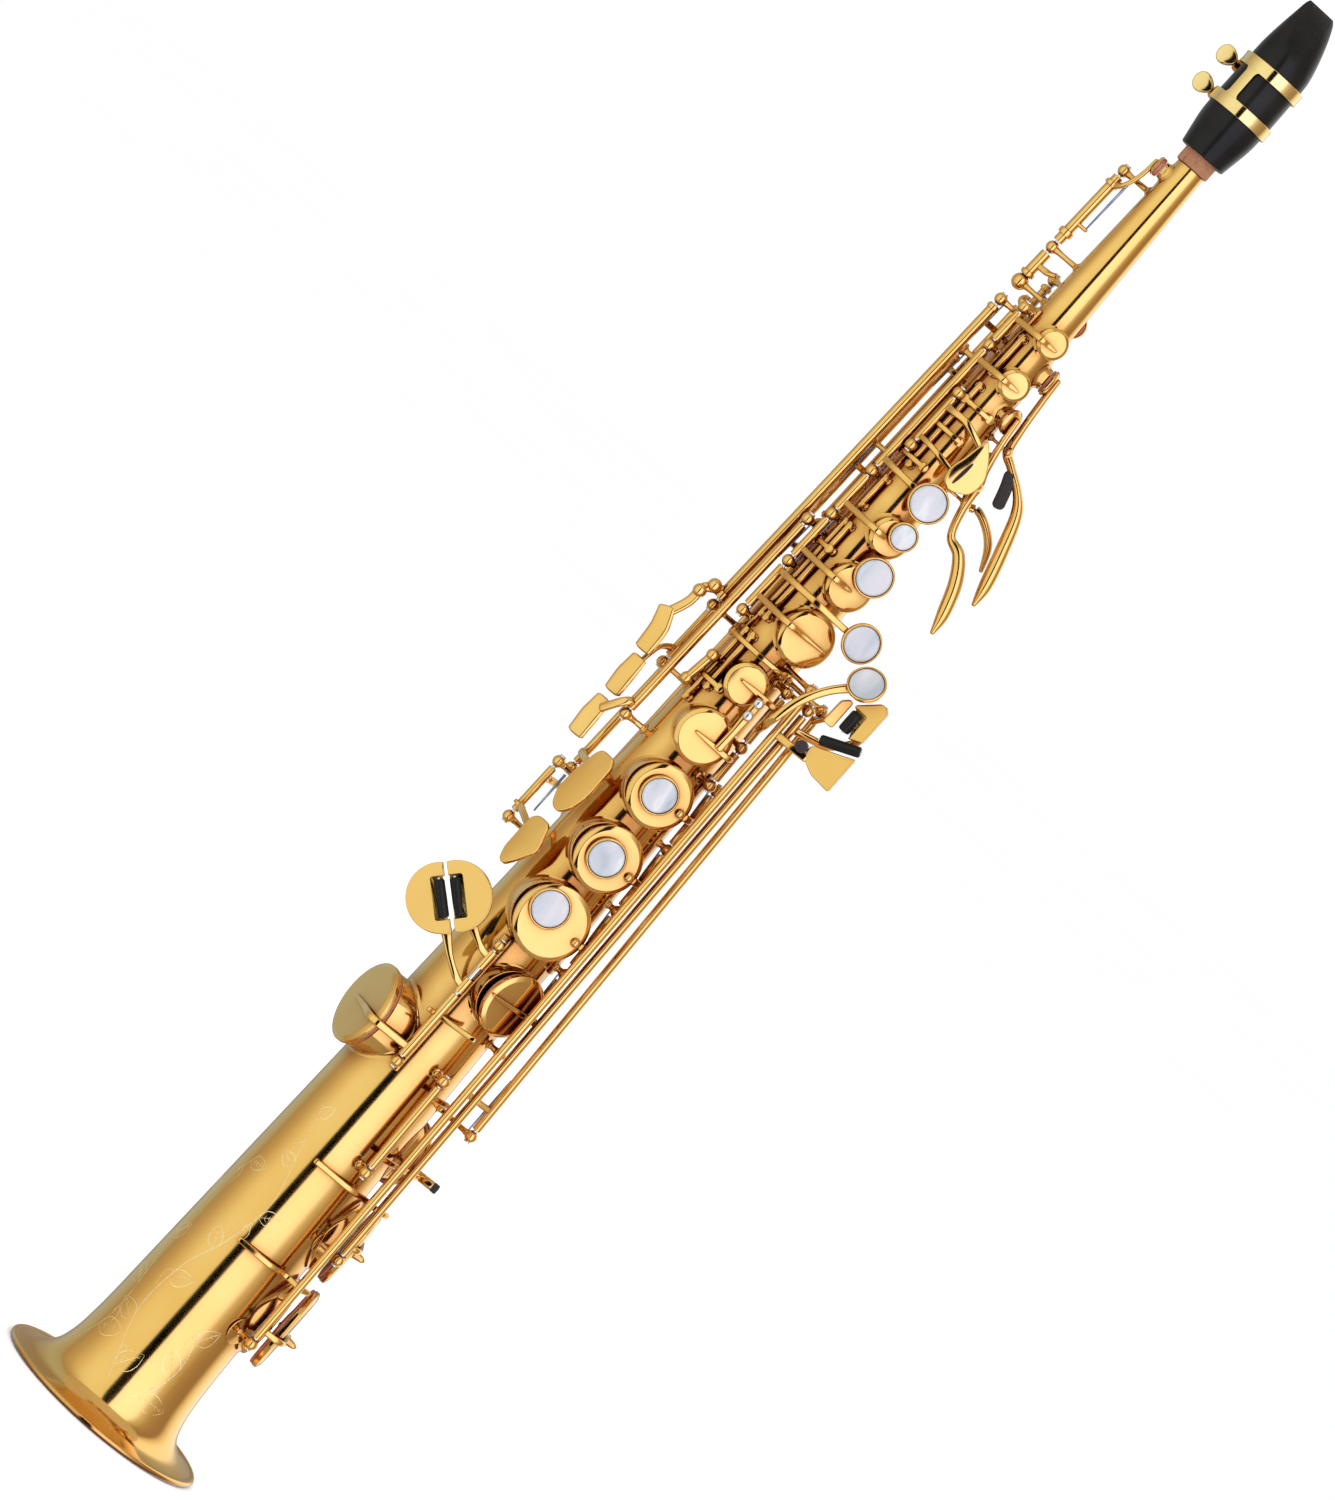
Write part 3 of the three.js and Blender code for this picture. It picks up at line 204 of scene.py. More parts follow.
def ebonite(name, shade, rough):
    """Polished hard rubber, or black plastic: a trace of brown, and fine handling marks."""
    made = material(name, (shade, shade, shade * 1.08), rough, 0.0, Coat_Weight=0.06,
                    Coat_Roughness=0.06, Specular_IOR_Level=0.12)
    tone = texture(made, "ShaderNodeTexNoise", 60, Detail=3.0)
    link(made, ramp(made, tone.outputs["Fac"], [
        (0.3, (shade * 0.7, shade * 0.68, shade * 0.7)), (0.75, (shade * 1.5, shade * 1.35, shade * 1.3))]),
        principled(made, "Base Color"))
    marks = texture(made, "ShaderNodeTexNoise", 900, (1, 1, 0.12), Detail=5.0)
    link(made, spread(made, marks.outputs["Fac"], rough * 0.6, rough * 1.7),
         principled(made, "Roughness"))
    bump(made, marks.outputs["Fac"], 0.000015, 0.5)
    return made


def cork():
    """Natural cork: tan cells with dark pores in short lines."""
    made = material("cork", (0.31, 0.13, 0.07), 0.8, 0.0, Specular_IOR_Level=0.25)
    cells = texture(made, "ShaderNodeTexVoronoi", 900, (1, 1, 0.7))
    tone = texture(made, "ShaderNodeTexNoise", 300, (1, 1, 0.5), Detail=5.0, Roughness=0.7)
    mixed = node(made, "ShaderNodeMath", operation="MULTIPLY")
    link(made, cells.outputs["Distance"], mixed.inputs[0])
    link(made, tone.outputs["Fac"], mixed.inputs[1])
    link(made, ramp(made, tone.outputs["Fac"], [
        (0.30, (0.12, 0.05, 0.025)), (0.42, (0.28, 0.12, 0.062)), (0.6, (0.33, 0.15, 0.08)),
        (0.8, (0.42, 0.21, 0.12))]), principled(made, "Base Color"))
    bump(made, mixed.outputs[0], 0.0003, 0.7)
    return made


def pad_leather():
    """Thin brown kid, with its fine grain and a slight shine."""
    made = material("pad_leather", (0.36, 0.09, 0.04), 0.5, 0.0, Coat_Weight=0.15,
                    Coat_Roughness=0.4)
    grain = texture(made, "ShaderNodeTexVoronoi", 1500, feature="DISTANCE_TO_EDGE")
    tone = texture(made, "ShaderNodeTexNoise", 180, Detail=3.0)
    link(made, ramp(made, tone.outputs["Fac"], [(0.3, (0.24, 0.05, 0.02)), (0.7, (0.46, 0.12, 0.05))]),
         principled(made, "Base Color"))
    bump(made, grain.outputs["Distance"], 0.0001, 0.6)
    return made


def spring_steel():
    """Blued steel wire, its oxide colour drifting along it."""
    made = material("spring_steel", (0.24, 0.30, 0.42), 0.25, 1.0)
    drift = texture(made, "ShaderNodeTexNoise", 120, Detail=2.0)
    link(made, ramp(made, drift.outputs["Fac"], [(0.35, (0.16, 0.22, 0.36)), (0.7, (0.40, 0.46, 0.58))]),
         principled(made, "Base Color"))
    return made


def screw_steel():
    """Nickel-bright screws, lightly turned."""
    made = material("screw_steel", (0.80, 0.80, 0.83), 0.2, 1.0)
    turning = texture(made, "ShaderNodeTexNoise", 1800, Detail=2.0)
    link(made, spread(made, turning.outputs["Fac"], 0.12, 0.32), principled(made, "Roughness"))
    bump(made, turning.outputs["Fac"], 0.00001, 0.5)
    return made


def felt_black():
    """Pressed felt and dark cork: matt, with a nap."""
    made = material("felt_black", (0.035, 0.025, 0.022), 0.95, 0.0, Sheen_Weight=0.12,
                    Sheen_Roughness=0.5)
    nap = texture(made, "ShaderNodeTexNoise", 2600, Detail=6.0, Roughness=0.8)
    link(made, ramp(made, nap.outputs["Fac"], [(0.3, (0.008, 0.006, 0.006)), (0.7, (0.035, 0.026, 0.024))]),
         principled(made, "Base Color"))
    bump(made, nap.outputs["Fac"], 0.0002, 0.8)
    return made


def studio_floor():
    made = material("studio_floor", (0.97, 0.97, 0.97), 0.6, 0.0, Specular_IOR_Level=0.1)
    tone = texture(made, "ShaderNodeTexNoise", 3, Detail=3.0)
    link(made, ramp(made, tone.outputs["Fac"], [(0.3, (0.96, 0.96, 0.96)), (0.7, (0.975, 0.975, 0.975))]),
         principled(made, "Base Color"))
    return made


MATERIALS = {
    "body_brass": lacquered_brass("body_brass", (0.90, 0.55, 0.17), (0.86, 0.49, 0.13), 0.10),
    "key_brass": lacquered_brass("key_brass", (0.91, 0.56, 0.18), (0.86, 0.49, 0.13), 0.09),
    "ligature_brass": lacquered_brass("ligature_brass", (0.93, 0.69, 0.30), (0.90, 0.62, 0.24), 0.09),
    "engraved_brass": engraved_brass(),
    "mother_of_pearl": mother_of_pearl(),
    "ebonite": ebonite("ebonite", 0.009, 0.16),
    "roller_black": ebonite("roller_black", 0.009, 0.26),
    "cork": cork(),
    "pad_leather": pad_leather(),
    "spring_steel": spring_steel(),
    "screw_steel": screw_steel(),
    "felt_black": felt_black(),
}

# ---------------------------------------------------------------- places
NECK_RADIUS, NECK_Z, TAPER = 6.2, 620, 0.0335    # the cone: its radius at NECK_Z, and its taper
BODY_TOP = 623
RIM_LIFT = 2                     # tone-hole rim above the body, at its middle
FIT = 0.3
TUBE = 1.75                      # outer radius of a key's hinge tube
BALL = 2.5                       # radius of a post's ball


def body_radius(z):
    return NECK_RADIUS + TAPER * (NECK_Z - z)


def outward(phi):
    return Vector((math.sin(math.radians(phi)), -math.cos(math.radians(phi)), 0))


def at(phi, r, z):
    return outward(phi) * r + Vector((0, 0, z))


def over(phi, height, z):
    return at(phi, body_radius(z) + height, z)


def polar(place):
    return math.degrees(math.atan2(place.x, -place.y)), math.hypot(place.x, place.y), place.z


def sweep(start, end, steps):
    """Points from one (phi, r, z) place to another, evenly round the body."""
    start, end = Vector(start), Vector(end)
    return [at(*start.lerp(end, i / steps)) for i in range(steps + 1)]


def hinge_axis(key):
    return Vector(JOINTS[key]["axis"])


def hinge_at(key, z):
    """The point at height z on the line that a key turns about."""
    start, axis = Vector(JOINTS[key]["pos_m"]) / MM, hinge_axis(key)
    return start + axis * ((z - start.z) / axis.z)


def circle(count):
    """Angles evenly round a circle, in radians."""
    return [2 * math.pi * i / count for i in range(count)]


# ---------------------------------------------------------------- shapes
class Skin:
    """Points and faces of one or more closed shapes."""

    def __init__(self, points=(), faces=()):
        self.points, self.faces = list(points), list(faces)

    def __add__(self, other):
        base = len(self.points)
        faces = [[base + i for i in face] for face in other.faces]
        return Skin(self.points + other.points, self.faces + faces)


def loft(rings, closed=False):
    """Rings of equal count skinned one to the next; the ends are capped, or joined if closed."""
    count = len(rings[0])
    points = [p for ring in rings for p in ring]
    faces = []
    for i in range(len(rings) if closed else len(rings) - 1):
        a, b = i * count, (i + 1) % len(rings) * count
        for j in range(count):
            k = (j + 1) % count
            faces.append([a + j, a + k, b + k, b + j])
    if not closed:
        faces.append(list(range(count))[::-1])
        faces.append(list(range(len(points) - count, len(points))))
    return Skin(points, faces)


def fillet(points, radius, steps=3):
    """An open line with its corners rounded."""
    points = [Vector(p) for p in points]
    out = [points[0]]
    for before, corner, after in zip(points, points[1:], points[2:]):
        a, b = before - corner, after - corner
        reach = min(radius, a.length * 0.48, b.length * 0.48)
        start, end = corner + a.normalized() * reach, corner + b.normalized() * reach
        for i in range(steps + 1):
            t = i / steps
            out.append(start * (1 - t) ** 2 + corner * 2 * t * (1 - t) + end * t ** 2)
    return out + [points[-1]]


def smooth(points, steps, closed=False):
    """A Catmull-Rom curve through points of any size."""
    points = [Vector(p) for p in points]
    count = len(points)
    if closed:
        look = lambda i: points[i % count]
    else:
        look = lambda i: points[min(max(i, 0), count - 1)]
    out = []
    for i in range(count if closed else count - 1):
        a, b, c, d = look(i - 1), look(i), look(i + 1), look(i + 2)
        for k in range(steps):
            t = k / steps
            out.append((b * 2 + (c - a) * t + (a * 2 - b * 5 + c * 4 - d) * t ** 2
                        + (b * 3 - a - c * 3 + d) * t ** 3) / 2)
    return out if closed else out + [points[-1]]


def turned(profile, origin, direction, sides=None, rounding=0.3, steps=3):
    """A turned piece: (radius, height) pairs from foot to head along `direction`."""
    outline = fillet(profile, rounding, steps) if rounding else [Vector(p) for p in profile]
    sides = sides or max(16, min(96, int(8 * max(p[0] for p in outline) ** 0.75)))
    turn = Vector((0, 0, 1)).rotation_difference(Vector(direction))
    rings = []
    for r, h in outline:
        r = max(r, 0.004)
        rings.append([origin + turn @ Vector((r * math.cos(a), r * math.sin(a), h))
                      for a in circle(sides)])
    closed = profile[0] == profile[-1]
    return loft(rings[:-1] if closed else rings, closed)


def rod(start, end, radius, edge=0.25, sides=20):
    length = (end - start).length
    profile = [(0, 0), (radius, 0), (radius, length), (0, length)]
    return turned(profile, start, (end - start).normalized(), sides, edge, 2)


def ball(centre, radius, sides=28):
    rings = []
    for i in range(1, 14):
        a = math.pi * i / 14
        r, h = radius * math.sin(a), -radius * math.cos(a)
        rings.append([centre + Vector((r * math.cos(t), r * math.sin(t), h))
                      for t in circle(sides)])
    return loft(rings)


def section(half_width, half_depth, power=2.6, count=16):
    """A rounded bar's section, as (across, up) pairs."""
    out = []
    for i in range(count):
        a = 2 * math.pi * (i + 0.5) / count
        c, s = math.cos(a), math.sin(a)
        out.append((half_width * math.copysign(abs(c) ** (2 / power), c),
                    half_depth * math.copysign(abs(s) ** (2 / power), s)))
    return out


def bar(points, width, depth, face=None, steps=6, power=2.6):
    """A rounded bar through `points`, `width` across and `depth` thick, its face turned to `face`, or
    away from the bore."""
    widths = width if isinstance(width, (list, tuple)) else [width] * len(points)
    depths = depth if isinstance(depth, (list, tuple)) else [depth] * len(points)
    centres = smooth(points, steps)
    sizes = smooth([(w, d) for w, d in zip(widths, depths)], steps)
    rings = []
    for i, centre in enumerate(centres):
        along = (centres[min(i + 1, len(centres) - 1)] - centres[max(i - 1, 0)]).normalized()
        out = Vector(face) if face is not None else Vector((centre.x, centre.y, 0))
        across = along.cross(out).normalized()
        up = across.cross(along).normalized()
        w, d = max(sizes[i][0], 0.1), max(sizes[i][1], 0.1)
        swell = [(0, 1)]
        if i in (0, len(centres) - 1):
            swell = [(0.42, 0.35), (0.34, 0.68), (0.18, 0.9), (0, 1)]
        way = -1 if i == 0 else 1
        for push, scale in swell if i == 0 else swell[::-1]:
            middle = centre + along * (way * push * min(w, d))
            rings.append([middle + across * a * scale + up * u * scale
                          for a, u in section(w / 2, d / 2, power)])
    return loft(rings)


def inset(outline, distance):
    """A closed 2-D outline moved inwards; it runs anticlockwise."""
    out = []
    count = len(outline)
    for i, p in enumerate(outline):
        a, b = (p - outline[i - 1]).normalized(), (outline[(i + 1) % count] - p).normalized()
        normal = Vector((-(a.y + b.y), a.x + b.x))
        if normal.length > 1e-6:
            p = p + normal.normalized() * distance / max(0.5, normal.length / 2)
        out.append(p)
    return out


def rounded(outline, radius, steps=4):
    """A closed 2-D outline with its corners rounded, running anticlockwise."""
    outline = [Vector(p) for p in outline]
    area = sum(a.x * b.y - b.x * a.y for a, b in zip(outline, outline[1:] + outline[:1]))
    if area < 0:
        outline.reverse()
    middle = (outline[0] + outline[-1]) / 2
    return fillet([middle, *outline, middle], radius, steps)[:-1]


def oval(half_width, half_height, count=40):
    return [Vector((half_width * math.cos(a), half_height * math.sin(a)))
            for a in circle(count)]


def plate(outline, place, thick, edge=0.5, crown=0.0, back=0.0):
    """A plate with rounded edges. `place(a, u, h)` puts a point `a` across, `u` up and `h` out;
    `crown` is how far the middle of its face stands up."""
    rings = []
    for inward, height in [(edge, back), (0.25 * edge, back + 0.12 * edge), (0, back + edge * 0.6),
                           (0, thick - edge), (0.12 * edge, thick - 0.5 * edge),
                           (0.45 * edge, thick - 0.15 * edge), (edge, thick), (edge + 0.12, thick)]:
        rings.append([place(p.x, p.y, height) for p in inset(outline, inward)])
    if crown:
        top = inset(outline, edge)
        centre = sum(top, Vector((0, 0))) / len(top)
        for share in (0.85, 0.65, 0.45, 0.25, 0.08):
            rings.append([place(*centre.lerp(p, share), thick + crown * (1 - share ** 2))
                          for p in top])
    return loft(rings)


def facing(centre, face, upright=(0, 0, 1)):
    """The placing function of a plate at `centre` that faces `face`, with `upright` towards its top."""
    out = Vector(face).normalized()
    across = Vector(upright).cross(out).normalized()
    up = out.cross(across)
    return lambda a, u, h: centre + across * a + up * u + out * h


def front(y, lean=0, middle=0):
    """The placing function of a plate that faces the front, its back at `y`; it leans by `lean`
    degrees round the upright at x = `middle`, towards +X."""
    slope = math.tan(math.radians(lean))
    return lambda x, z, h: Vector((x + h * slope, y - h + (x - middle) * slope, z))


def closed_mesh(name, points, faces):
    """A mesh in metres of closed shapes, their faces all turned outwards."""
    mesh = bpy.data.meshes.new(name)
    mesh.from_pydata([p * MM for p in points], [], faces)
    work = bmesh.new()
    work.from_mesh(mesh)
    bmesh.ops.recalc_face_normals(work, faces=work.faces)
    work.to_mesh(mesh)
    work.free()
    return mesh


def piece(name, skin, body, slot, stands_for=(), turn=None, sharp=38, look=None):
    """One named piece, in metres, that moves with `body`."""
    points = [turn @ p for p in skin.points] if turn else skin.points
    mesh = closed_mesh(name, points, skin.faces)
    mesh.shade_smooth()
    mesh.set_sharp_from_angle(angle=math.radians(sharp))
    mesh.materials.append(MATERIALS[look or slot])
    made = into_scene(name, mesh)
    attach(made, body)
    if stands_for:
        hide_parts(*stands_for)
    return made


# ---------------------------------------------------------------- tone holes, cups, pads and arms
# name: angle, height up the body, radius of the pad cup, height of the rim over the body
HOLES = {
    "upper_octave": (-90, 616, 4.3, 1.9), "lower_octave": (150, 474, 3.2, 2.4),
    "high_g": (150, 551, 5.0, RIM_LIFT), "high_f_sharp": (-165, 508, 5.2, RIM_LIFT),
    "side_e": (-150, 530, 5.2, RIM_LIFT), "side_c": (-140, 458, 6.4, RIM_LIFT),
    "side_b_flat": (-142, 420, 7.0, RIM_LIFT), "palm_f": (90, 528.5, 5.5, RIM_LIFT),
    "palm_e_flat": (60, 508, 5.4, RIM_LIFT), "palm_d": (100, 489, 5.8, RIM_LIFT),
    "c_vent": (23, 540, 6.2, RIM_LIFT), "b": (19.5, 519, 6.2, RIM_LIFT),
    "bis": (27, 446, 8.2, RIM_LIFT), "a": (29, 422, 9.5, RIM_LIFT),
    "g": (29.6, 397, 11.3, RIM_LIFT), "g_sharp": (8, 369.5, 8.6, RIM_LIFT),
    "f_sharp": (8, 344.5, 11.2, RIM_LIFT), "f": (11.5, 317, 13, RIM_LIFT),
    "e": (13.5, 286.5, 13.5, RIM_LIFT), "d": (11.8, 255, 15, RIM_LIFT),
    "low_c": (38, 221, 13.5, RIM_LIFT), "e_flat": (-62, 185, 17.5, 5.5),
    "low_c_sharp": (125, 148, 14.5, RIM_LIFT), "low_b": (102, 108.5, 17.3, RIM_LIFT),
    "low_b_flat": (98, 69, 18.6, RIM_LIFT),
}
ARM_WIDTH, ARM_DEPTH = 2.6, 1.9


def cup_thickness(radius):
    return 2.6 + radius * 0.1


def pad_shows(hole):
    """How much of a pad's edge shows under its cup: most on the upper octave key's."""
    return 1.75 if hole == "upper_octave" else min(1.35, 0.4 + 0.1 * HOLES[hole][2])


def rim_distance(hole):
    return body_radius(HOLES[hole][1]) + HOLES[hole][3]


def cup_top(hole, height=0, d_phi=0, dz=0):
    phi, z, radius, _ = HOLES[hole]
    return at(phi + d_phi, rim_distance(hole) + FIT + cup_thickness(radius) + height, z + dz)


def on_cup(hole, aside, height, z):
    """A point in the plane of a cup's top, `aside` from its middle towards larger phi."""
    phi, _, radius, _ = HOLES[hole]
    along = Vector((math.cos(math.radians(phi)), math.sin(math.radians(phi)), 0))
    distance = rim_distance(hole) + FIT + cup_thickness(radius) + height
    return outward(phi) * distance + along * aside + Vector((0, 0, z))


def cup(hole):
    """The brass dish over a tone hole: flat-topped, with a wide bevelled rim."""
    phi, z, radius, _ = HOLES[hole]
    deep = cup_thickness(radius)
    bevel = 0.8 + 0.07 * radius
    lip = 0.75
    foot = pad_shows(hole)
    profile = [(0, foot + 0.4), (radius - lip, foot + 0.4), (radius - lip, foot), (radius - 0.12, foot),
               (radius, foot + 0.1), (radius, deep - 1.15), (radius - bevel, deep - 0.22),
               (radius * 0.4, deep - 0.04), (0, deep)]
    return turned(profile, at(phi, rim_distance(hole) + FIT, z), outward(phi), None, 0.22)


def pad(hole):
    """The leather pad in a cup, just clear of the tone hole when it is closed."""
    phi, z, radius, _ = HOLES[hole]
    edge = radius - 0.35
    top = pad_shows(hole) - 0.05
    profile = [(0, -0.12), (edge - 1.4, -0.18), (edge - 0.3, 0.0), (edge, 0.35), (edge, top), (0, top)]
    return turned(profile, at(phi, rim_distance(hole) + FIT, z), outward(phi), None, 0.4)


def resonator(hole):
    """The domed disc riveted to the middle of a pad."""
    phi, z, radius, _ = HOLES[hole]
    wide = radius * 0.42
    profile = [(0, -1.15), (0.7, -1.1), (0.8, -0.8), (wide * 0.7, -0.7), (wide, -0.3), (wide, 0.1),
               (0, 0.1)]
    return turned(profile, at(phi, rim_distance(hole) + FIT, z), outward(phi), None, 0.15, 2)


def tube(key, low, high, radius=TUBE):
    return rod(hinge_at(key, low), hinge_at(key, high), radius, 0.22, 24)


def collar(key, z, radius, half=0.9):
    """A ring round a hinge tube."""
    start, end = hinge_at(key, z - half), hinge_at(key, z + half)
    return rod(start, end, radius, 0.5, 28)


def side_of(place, phi):
    """+1 or -1: which way round the body `place` lies from the angle `phi`."""
    return math.copysign(1, math.sin(math.radians(polar(place)[0] - phi)))


def cup_arm(key, z, hole, via=(), reach=0.35, width=ARM_WIDTH):
    """The arm from a hinge round the body to a cup and over the top of it, to a soft point."""
    phi, _, radius, _ = HOLES[hole]
    start = hinge_at(key, z)
    side = side_of(start, phi)
    lift = ARM_DEPTH / 2 - 0.35
    points = [start, *via, on_cup(hole, side * (radius + 0.6), lift, z),
              on_cup(hole, side * radius * 0.3, lift, z), on_cup(hole, -side * radius * reach, lift, z)]
    count = len(points)
    return bar(points, [width] * (count - 2) + [width * 0.85, width * 0.4],
               [ARM_DEPTH] * (count - 1) + [ARM_DEPTH * 0.7])


def side_arm(key, z, hole):
    """A short arm that joins a cup at its side, with the lump where it is brazed."""
    phi, _, radius, _ = HOLES[hole]
    start = hinge_at(key, z)
    side = side_of(start, phi)
    height = -cup_thickness(radius) / 2
    knob = on_cup(hole, side * (radius - 3.3), 0.1, z)
    return bar([start, on_cup(hole, side * (radius + 2.4), height - 0.6, z),
                on_cup(hole, side * (radius - 2), height, z)], [3.4, 3.0, 3.6], ARM_DEPTH) + ball(knob, 1.9)


def pearl_dish(centre, direction, radius):
    profile = [(0, 0), (radius - 0.9, 0), (radius + 0.9, 1.3), (radius + 1, 2.7), (radius + 0.45, 3.05),
               (radius + 0.12, 2.7), (radius + 0.1, 1.6), (0, 1.6)]
    return turned(profile, centre, direction, 64, 0.3)


def pearl(centre, direction, radius):
    """A polished disc of shell, a little hollow for the fingertip."""
    profile = [(0, 1.7), (radius, 1.7), (radius, 2.7), (radius - 0.7, 3.15), (radius * 0.55, 3.0), (0, 2.9)]
    return turned(profile, centre, direction, 64, 0.5, 4)


# ---------------------------------------------------------------- keys
def rest_turn(key):
    """How a key that rests open is turned from where it closes."""
    joint = JOINTS[key]
    start = Vector(joint["pos_m"]) / MM
    angle = -math.radians(max(joint["range_deg"], key=abs))
    return (Matrix.Translation(start) @ Matrix.Rotation(angle, 4, Vector(joint["axis"]))
            @ Matrix.Translation(-start))


def key(name, skins, hole=None, rests_open=False, pearls=(), felts=None):
    """A key drawn with its cup closed: its brass, its pad, its pearls and its felts, turned to rest."""
    turn = rest_turn(name) if rests_open else None
    skins = list(skins)
    if hole:
        skins.append(cup(hole))
    piece(name + ".brass", sum(skins, Skin()), name, "key_brass", [name], turn)
    if hole:
        piece(name + ".pad", pad(hole), name, "pad_leather", (), turn)
        if HOLES[hole][2] > 5:
            piece(name + ".resonator", resonator(hole), name, "key_brass", (), turn)
    for centre, face, radius in pearls:
        stem = name.replace("_key", "")
        piece(stem + "_pearl.dish", pearl_dish(centre, face, radius), name, "key_brass", (), turn)
        piece(stem + "_pearl.shell", pearl(centre, face, radius), name, "mother_of_pearl",
              [stem + "_pearl"], turn)
    if felts:
        piece(name + ".felt", felts, name, "felt_black", (), turn)


def left_hand_stack():
    line = "b_key"
    key("c_vent_key", [tube(line, 527.4, 540.6), cup_arm(line, 538.5, "c_vent")], "c_vent", True)
    key("b_key", [
        tube(line, 463.4, 521.6), cup_arm(line, 518, "b"),
        bar(sweep((-60, 17.2, 467), (22, 17.3, 466), 4), ARM_WIDTH, ARM_DEPTH),
    ], "b", True, [(at(32, 17.4, 465), outward(20), 7)])
    key("bis_key", [tube(line, 441.4, 457.6), cup_arm(line, 445, "bis", (), -0.45)], "bis", True,
        [(cup_top("bis", -0.4, 9, 3.5), outward(24), 4.9)])
    key("a_key", [tube(line, 417.4, 435.6), cup_arm(line, 421.4, "a", (), 0.05)], "a", True,
        [(cup_top("a", -0.5, 12, 9), outward(24), 7)])
    key("g_key", [
        tube(line, 392.4, 411.6), cup_arm(line, 397.5, "g", (), 0.72),
        bar([*sweep((-60, 19, 410), (10, 23, 410), 4), at(38, 25, 409.5), at(56, 27.6, 409.5)],
            ARM_WIDTH, ARM_DEPTH),
    ], "g", True, [(at(60, 28.5, 409.5), outward(28), 7)])


FRONT_F_OUTLINE = [(9.5, 496.5), (12.5, 495), (17, 489), (19, 484), (18, 478), (14, 475), (10, 474),
                   (7, 476), (6, 481), (7.5, 487)]


def front_f():
    outline = smooth([Vector(p) for p in FRONT_F_OUTLINE], 6, True)[::-1]
    slope = math.tan(math.radians(7))
    slot = plate(oval(0.8, 5.4), lambda a, u, h: Vector(
        (11 + a + u * 0.1, -19.45 - h + (a + u * 0.1 - 1) * slope, 482 + u)), 0.5, 0.2)
    key("front_f_key", [
        tube("front_f_key", 480.4, 500.4, 1.5), plate(outline, front(-17.6, 7, 12), 1.8, 0.6, 0.35),
        bar([hinge_at("front_f_key", 497), at(-22, 17.4, 497), at(0, 18.4, 497),
             (10.5, -18.2, 493)], ARM_WIDTH, ARM_DEPTH),
        bar([hinge_at("front_f_key", 482), at(-22, 17.2, 482), at(-4, 18.3, 481.4),
             (7.5, -18.4, 480)], 2.2, ARM_DEPTH),
    ], felts=slot)


def palm_hinge(name):
    """The middle of a palm key's short hinge, and the way it runs."""
    joint = JOINTS[name]
    pivot, axis = Vector(joint["pos_m"]) / MM, Vector(joint["axis"])
    return pivot + axis * (2 if axis.y > 0 else -2), axis


def palm_key(name, hole, path, widths, depths, felts=None):
    """A palm key: a lever that rocks on a short hinge across the body, and ends in a horn."""
    pivot, axis = palm_hinge(name)
    points = [pivot if p is None else Vector(p) for p in path]
    key(name, [
        rod(pivot - axis * 2.2, pivot + axis * 2.2, 2.1, 0.3),
        bar(points, widths, depths, (1, 0, 0.3), 7, 2.2),
    ], hole, felts=felts)


def palm_keys():
    wide = [5, 3.4, 3.2, 3.8, 4, 4.6, 5.4, 6.6, 6, 2.6]
    deep = [2.4, 2.8, 3.0, 3.8, 3.4, 3.4, 4.8, 5.6, 5.2, 2]
    palm_key("palm_f_key", "palm_f", [
        (15.2, 0, 531), (15.6, 0, 522), (17, 0, 508), None, (23, -0.5, 495.5), (31, -1.5, 490),
        (36.6, -2.5, 483), (41.5, -4, 469), (45.2, -5, 456), (46.6, -5, 448)], wide, deep,
        bar([(25, -1, 493), (27, -1.2, 488), (28.8, -1.4, 482)], 5, 4.2,
            (0, -1, 0), 4, 4))
    palm_key("palm_e_flat_key", "palm_e_flat", [
        (13.6, -8.2, 510), (14.6, -8.4, 500), (16.6, -8.8, 489), None, (20, -9.4, 471),
        (23.4, -9.8, 461.4), (30, -10.2, 458), (36, -10.6, 449.5), (40.2, -11, 438), (41.8, -11, 430)],
        wide, deep)
    palm_key("palm_d_key", "palm_d", [
        (15, 4.4, 491), (16, 4.6, 483), None, (25, 5, 475), (32, 4.6, 471.6), (37, 4, 466.6),
        (40.4, 3.6, 459)], [4.6, 3.2, 3.8, 4, 4.4, 4.6, 2.4], [2.4, 2.8, 3.4, 3.2, 3.2, 3.2, 1.8])


def octave_mechanism():
    line = "upper_octave_key"
    key("upper_octave_key", [
        tube(line, 570.6, 603.6, 2.1), collar(line, 600, 2.9), collar(line, 575, 3.0, 1.2),
        bar([hinge_at(line, 600), (-15.2, 2.5, 602), (-12.6, 0, 609),
             (-11.7, 0, 617)], [3, 2.8, 2.6, 2.4], ARM_DEPTH),
        bar([hinge_at(line, 580.4), hinge_at(line, 580.4) + Vector((4.8, -2.2, 0))], 2.2, 1.6, (0, 0, 1)),
    ], "upper_octave")
    key("octave_rocker", [
        tube(line, 553, 564.6, 2.2), collar(line, 554.2, 2.9),
        bar([hinge_at(line, 559), (-15, 4, 559), (-12, 2.5, 560)], 2.6, ARM_DEPTH),
    ])
    thumb = "octave_thumb_key"
    key(thumb, [
        tube(thumb, 434.4, 542.6), collar(thumb, 541, 2.3), collar(thumb, 436, 2.3),
        bar([*sweep((-135, 23.4, 438), (-172, 20, 440), 3), at(-180, 18.6, 446)], 3, ARM_DEPTH),
        plate(oval(6, 8), facing(at(180, 17.6, 447), outward(180)), 2.4, 0.8, 0.5),
    ])
    key("lower_octave_key", [
        tube("lower_octave_key", 461.4, 488.6), cup_arm("lower_octave_key", 474, "lower_octave"),
    ], "lower_octave")


G_SHARP_PEARL = Vector((36.8, -25.5, 398.8))
G_SHARP_FACE = Vector((-0.32, -0.82, 0.42)).normalized()


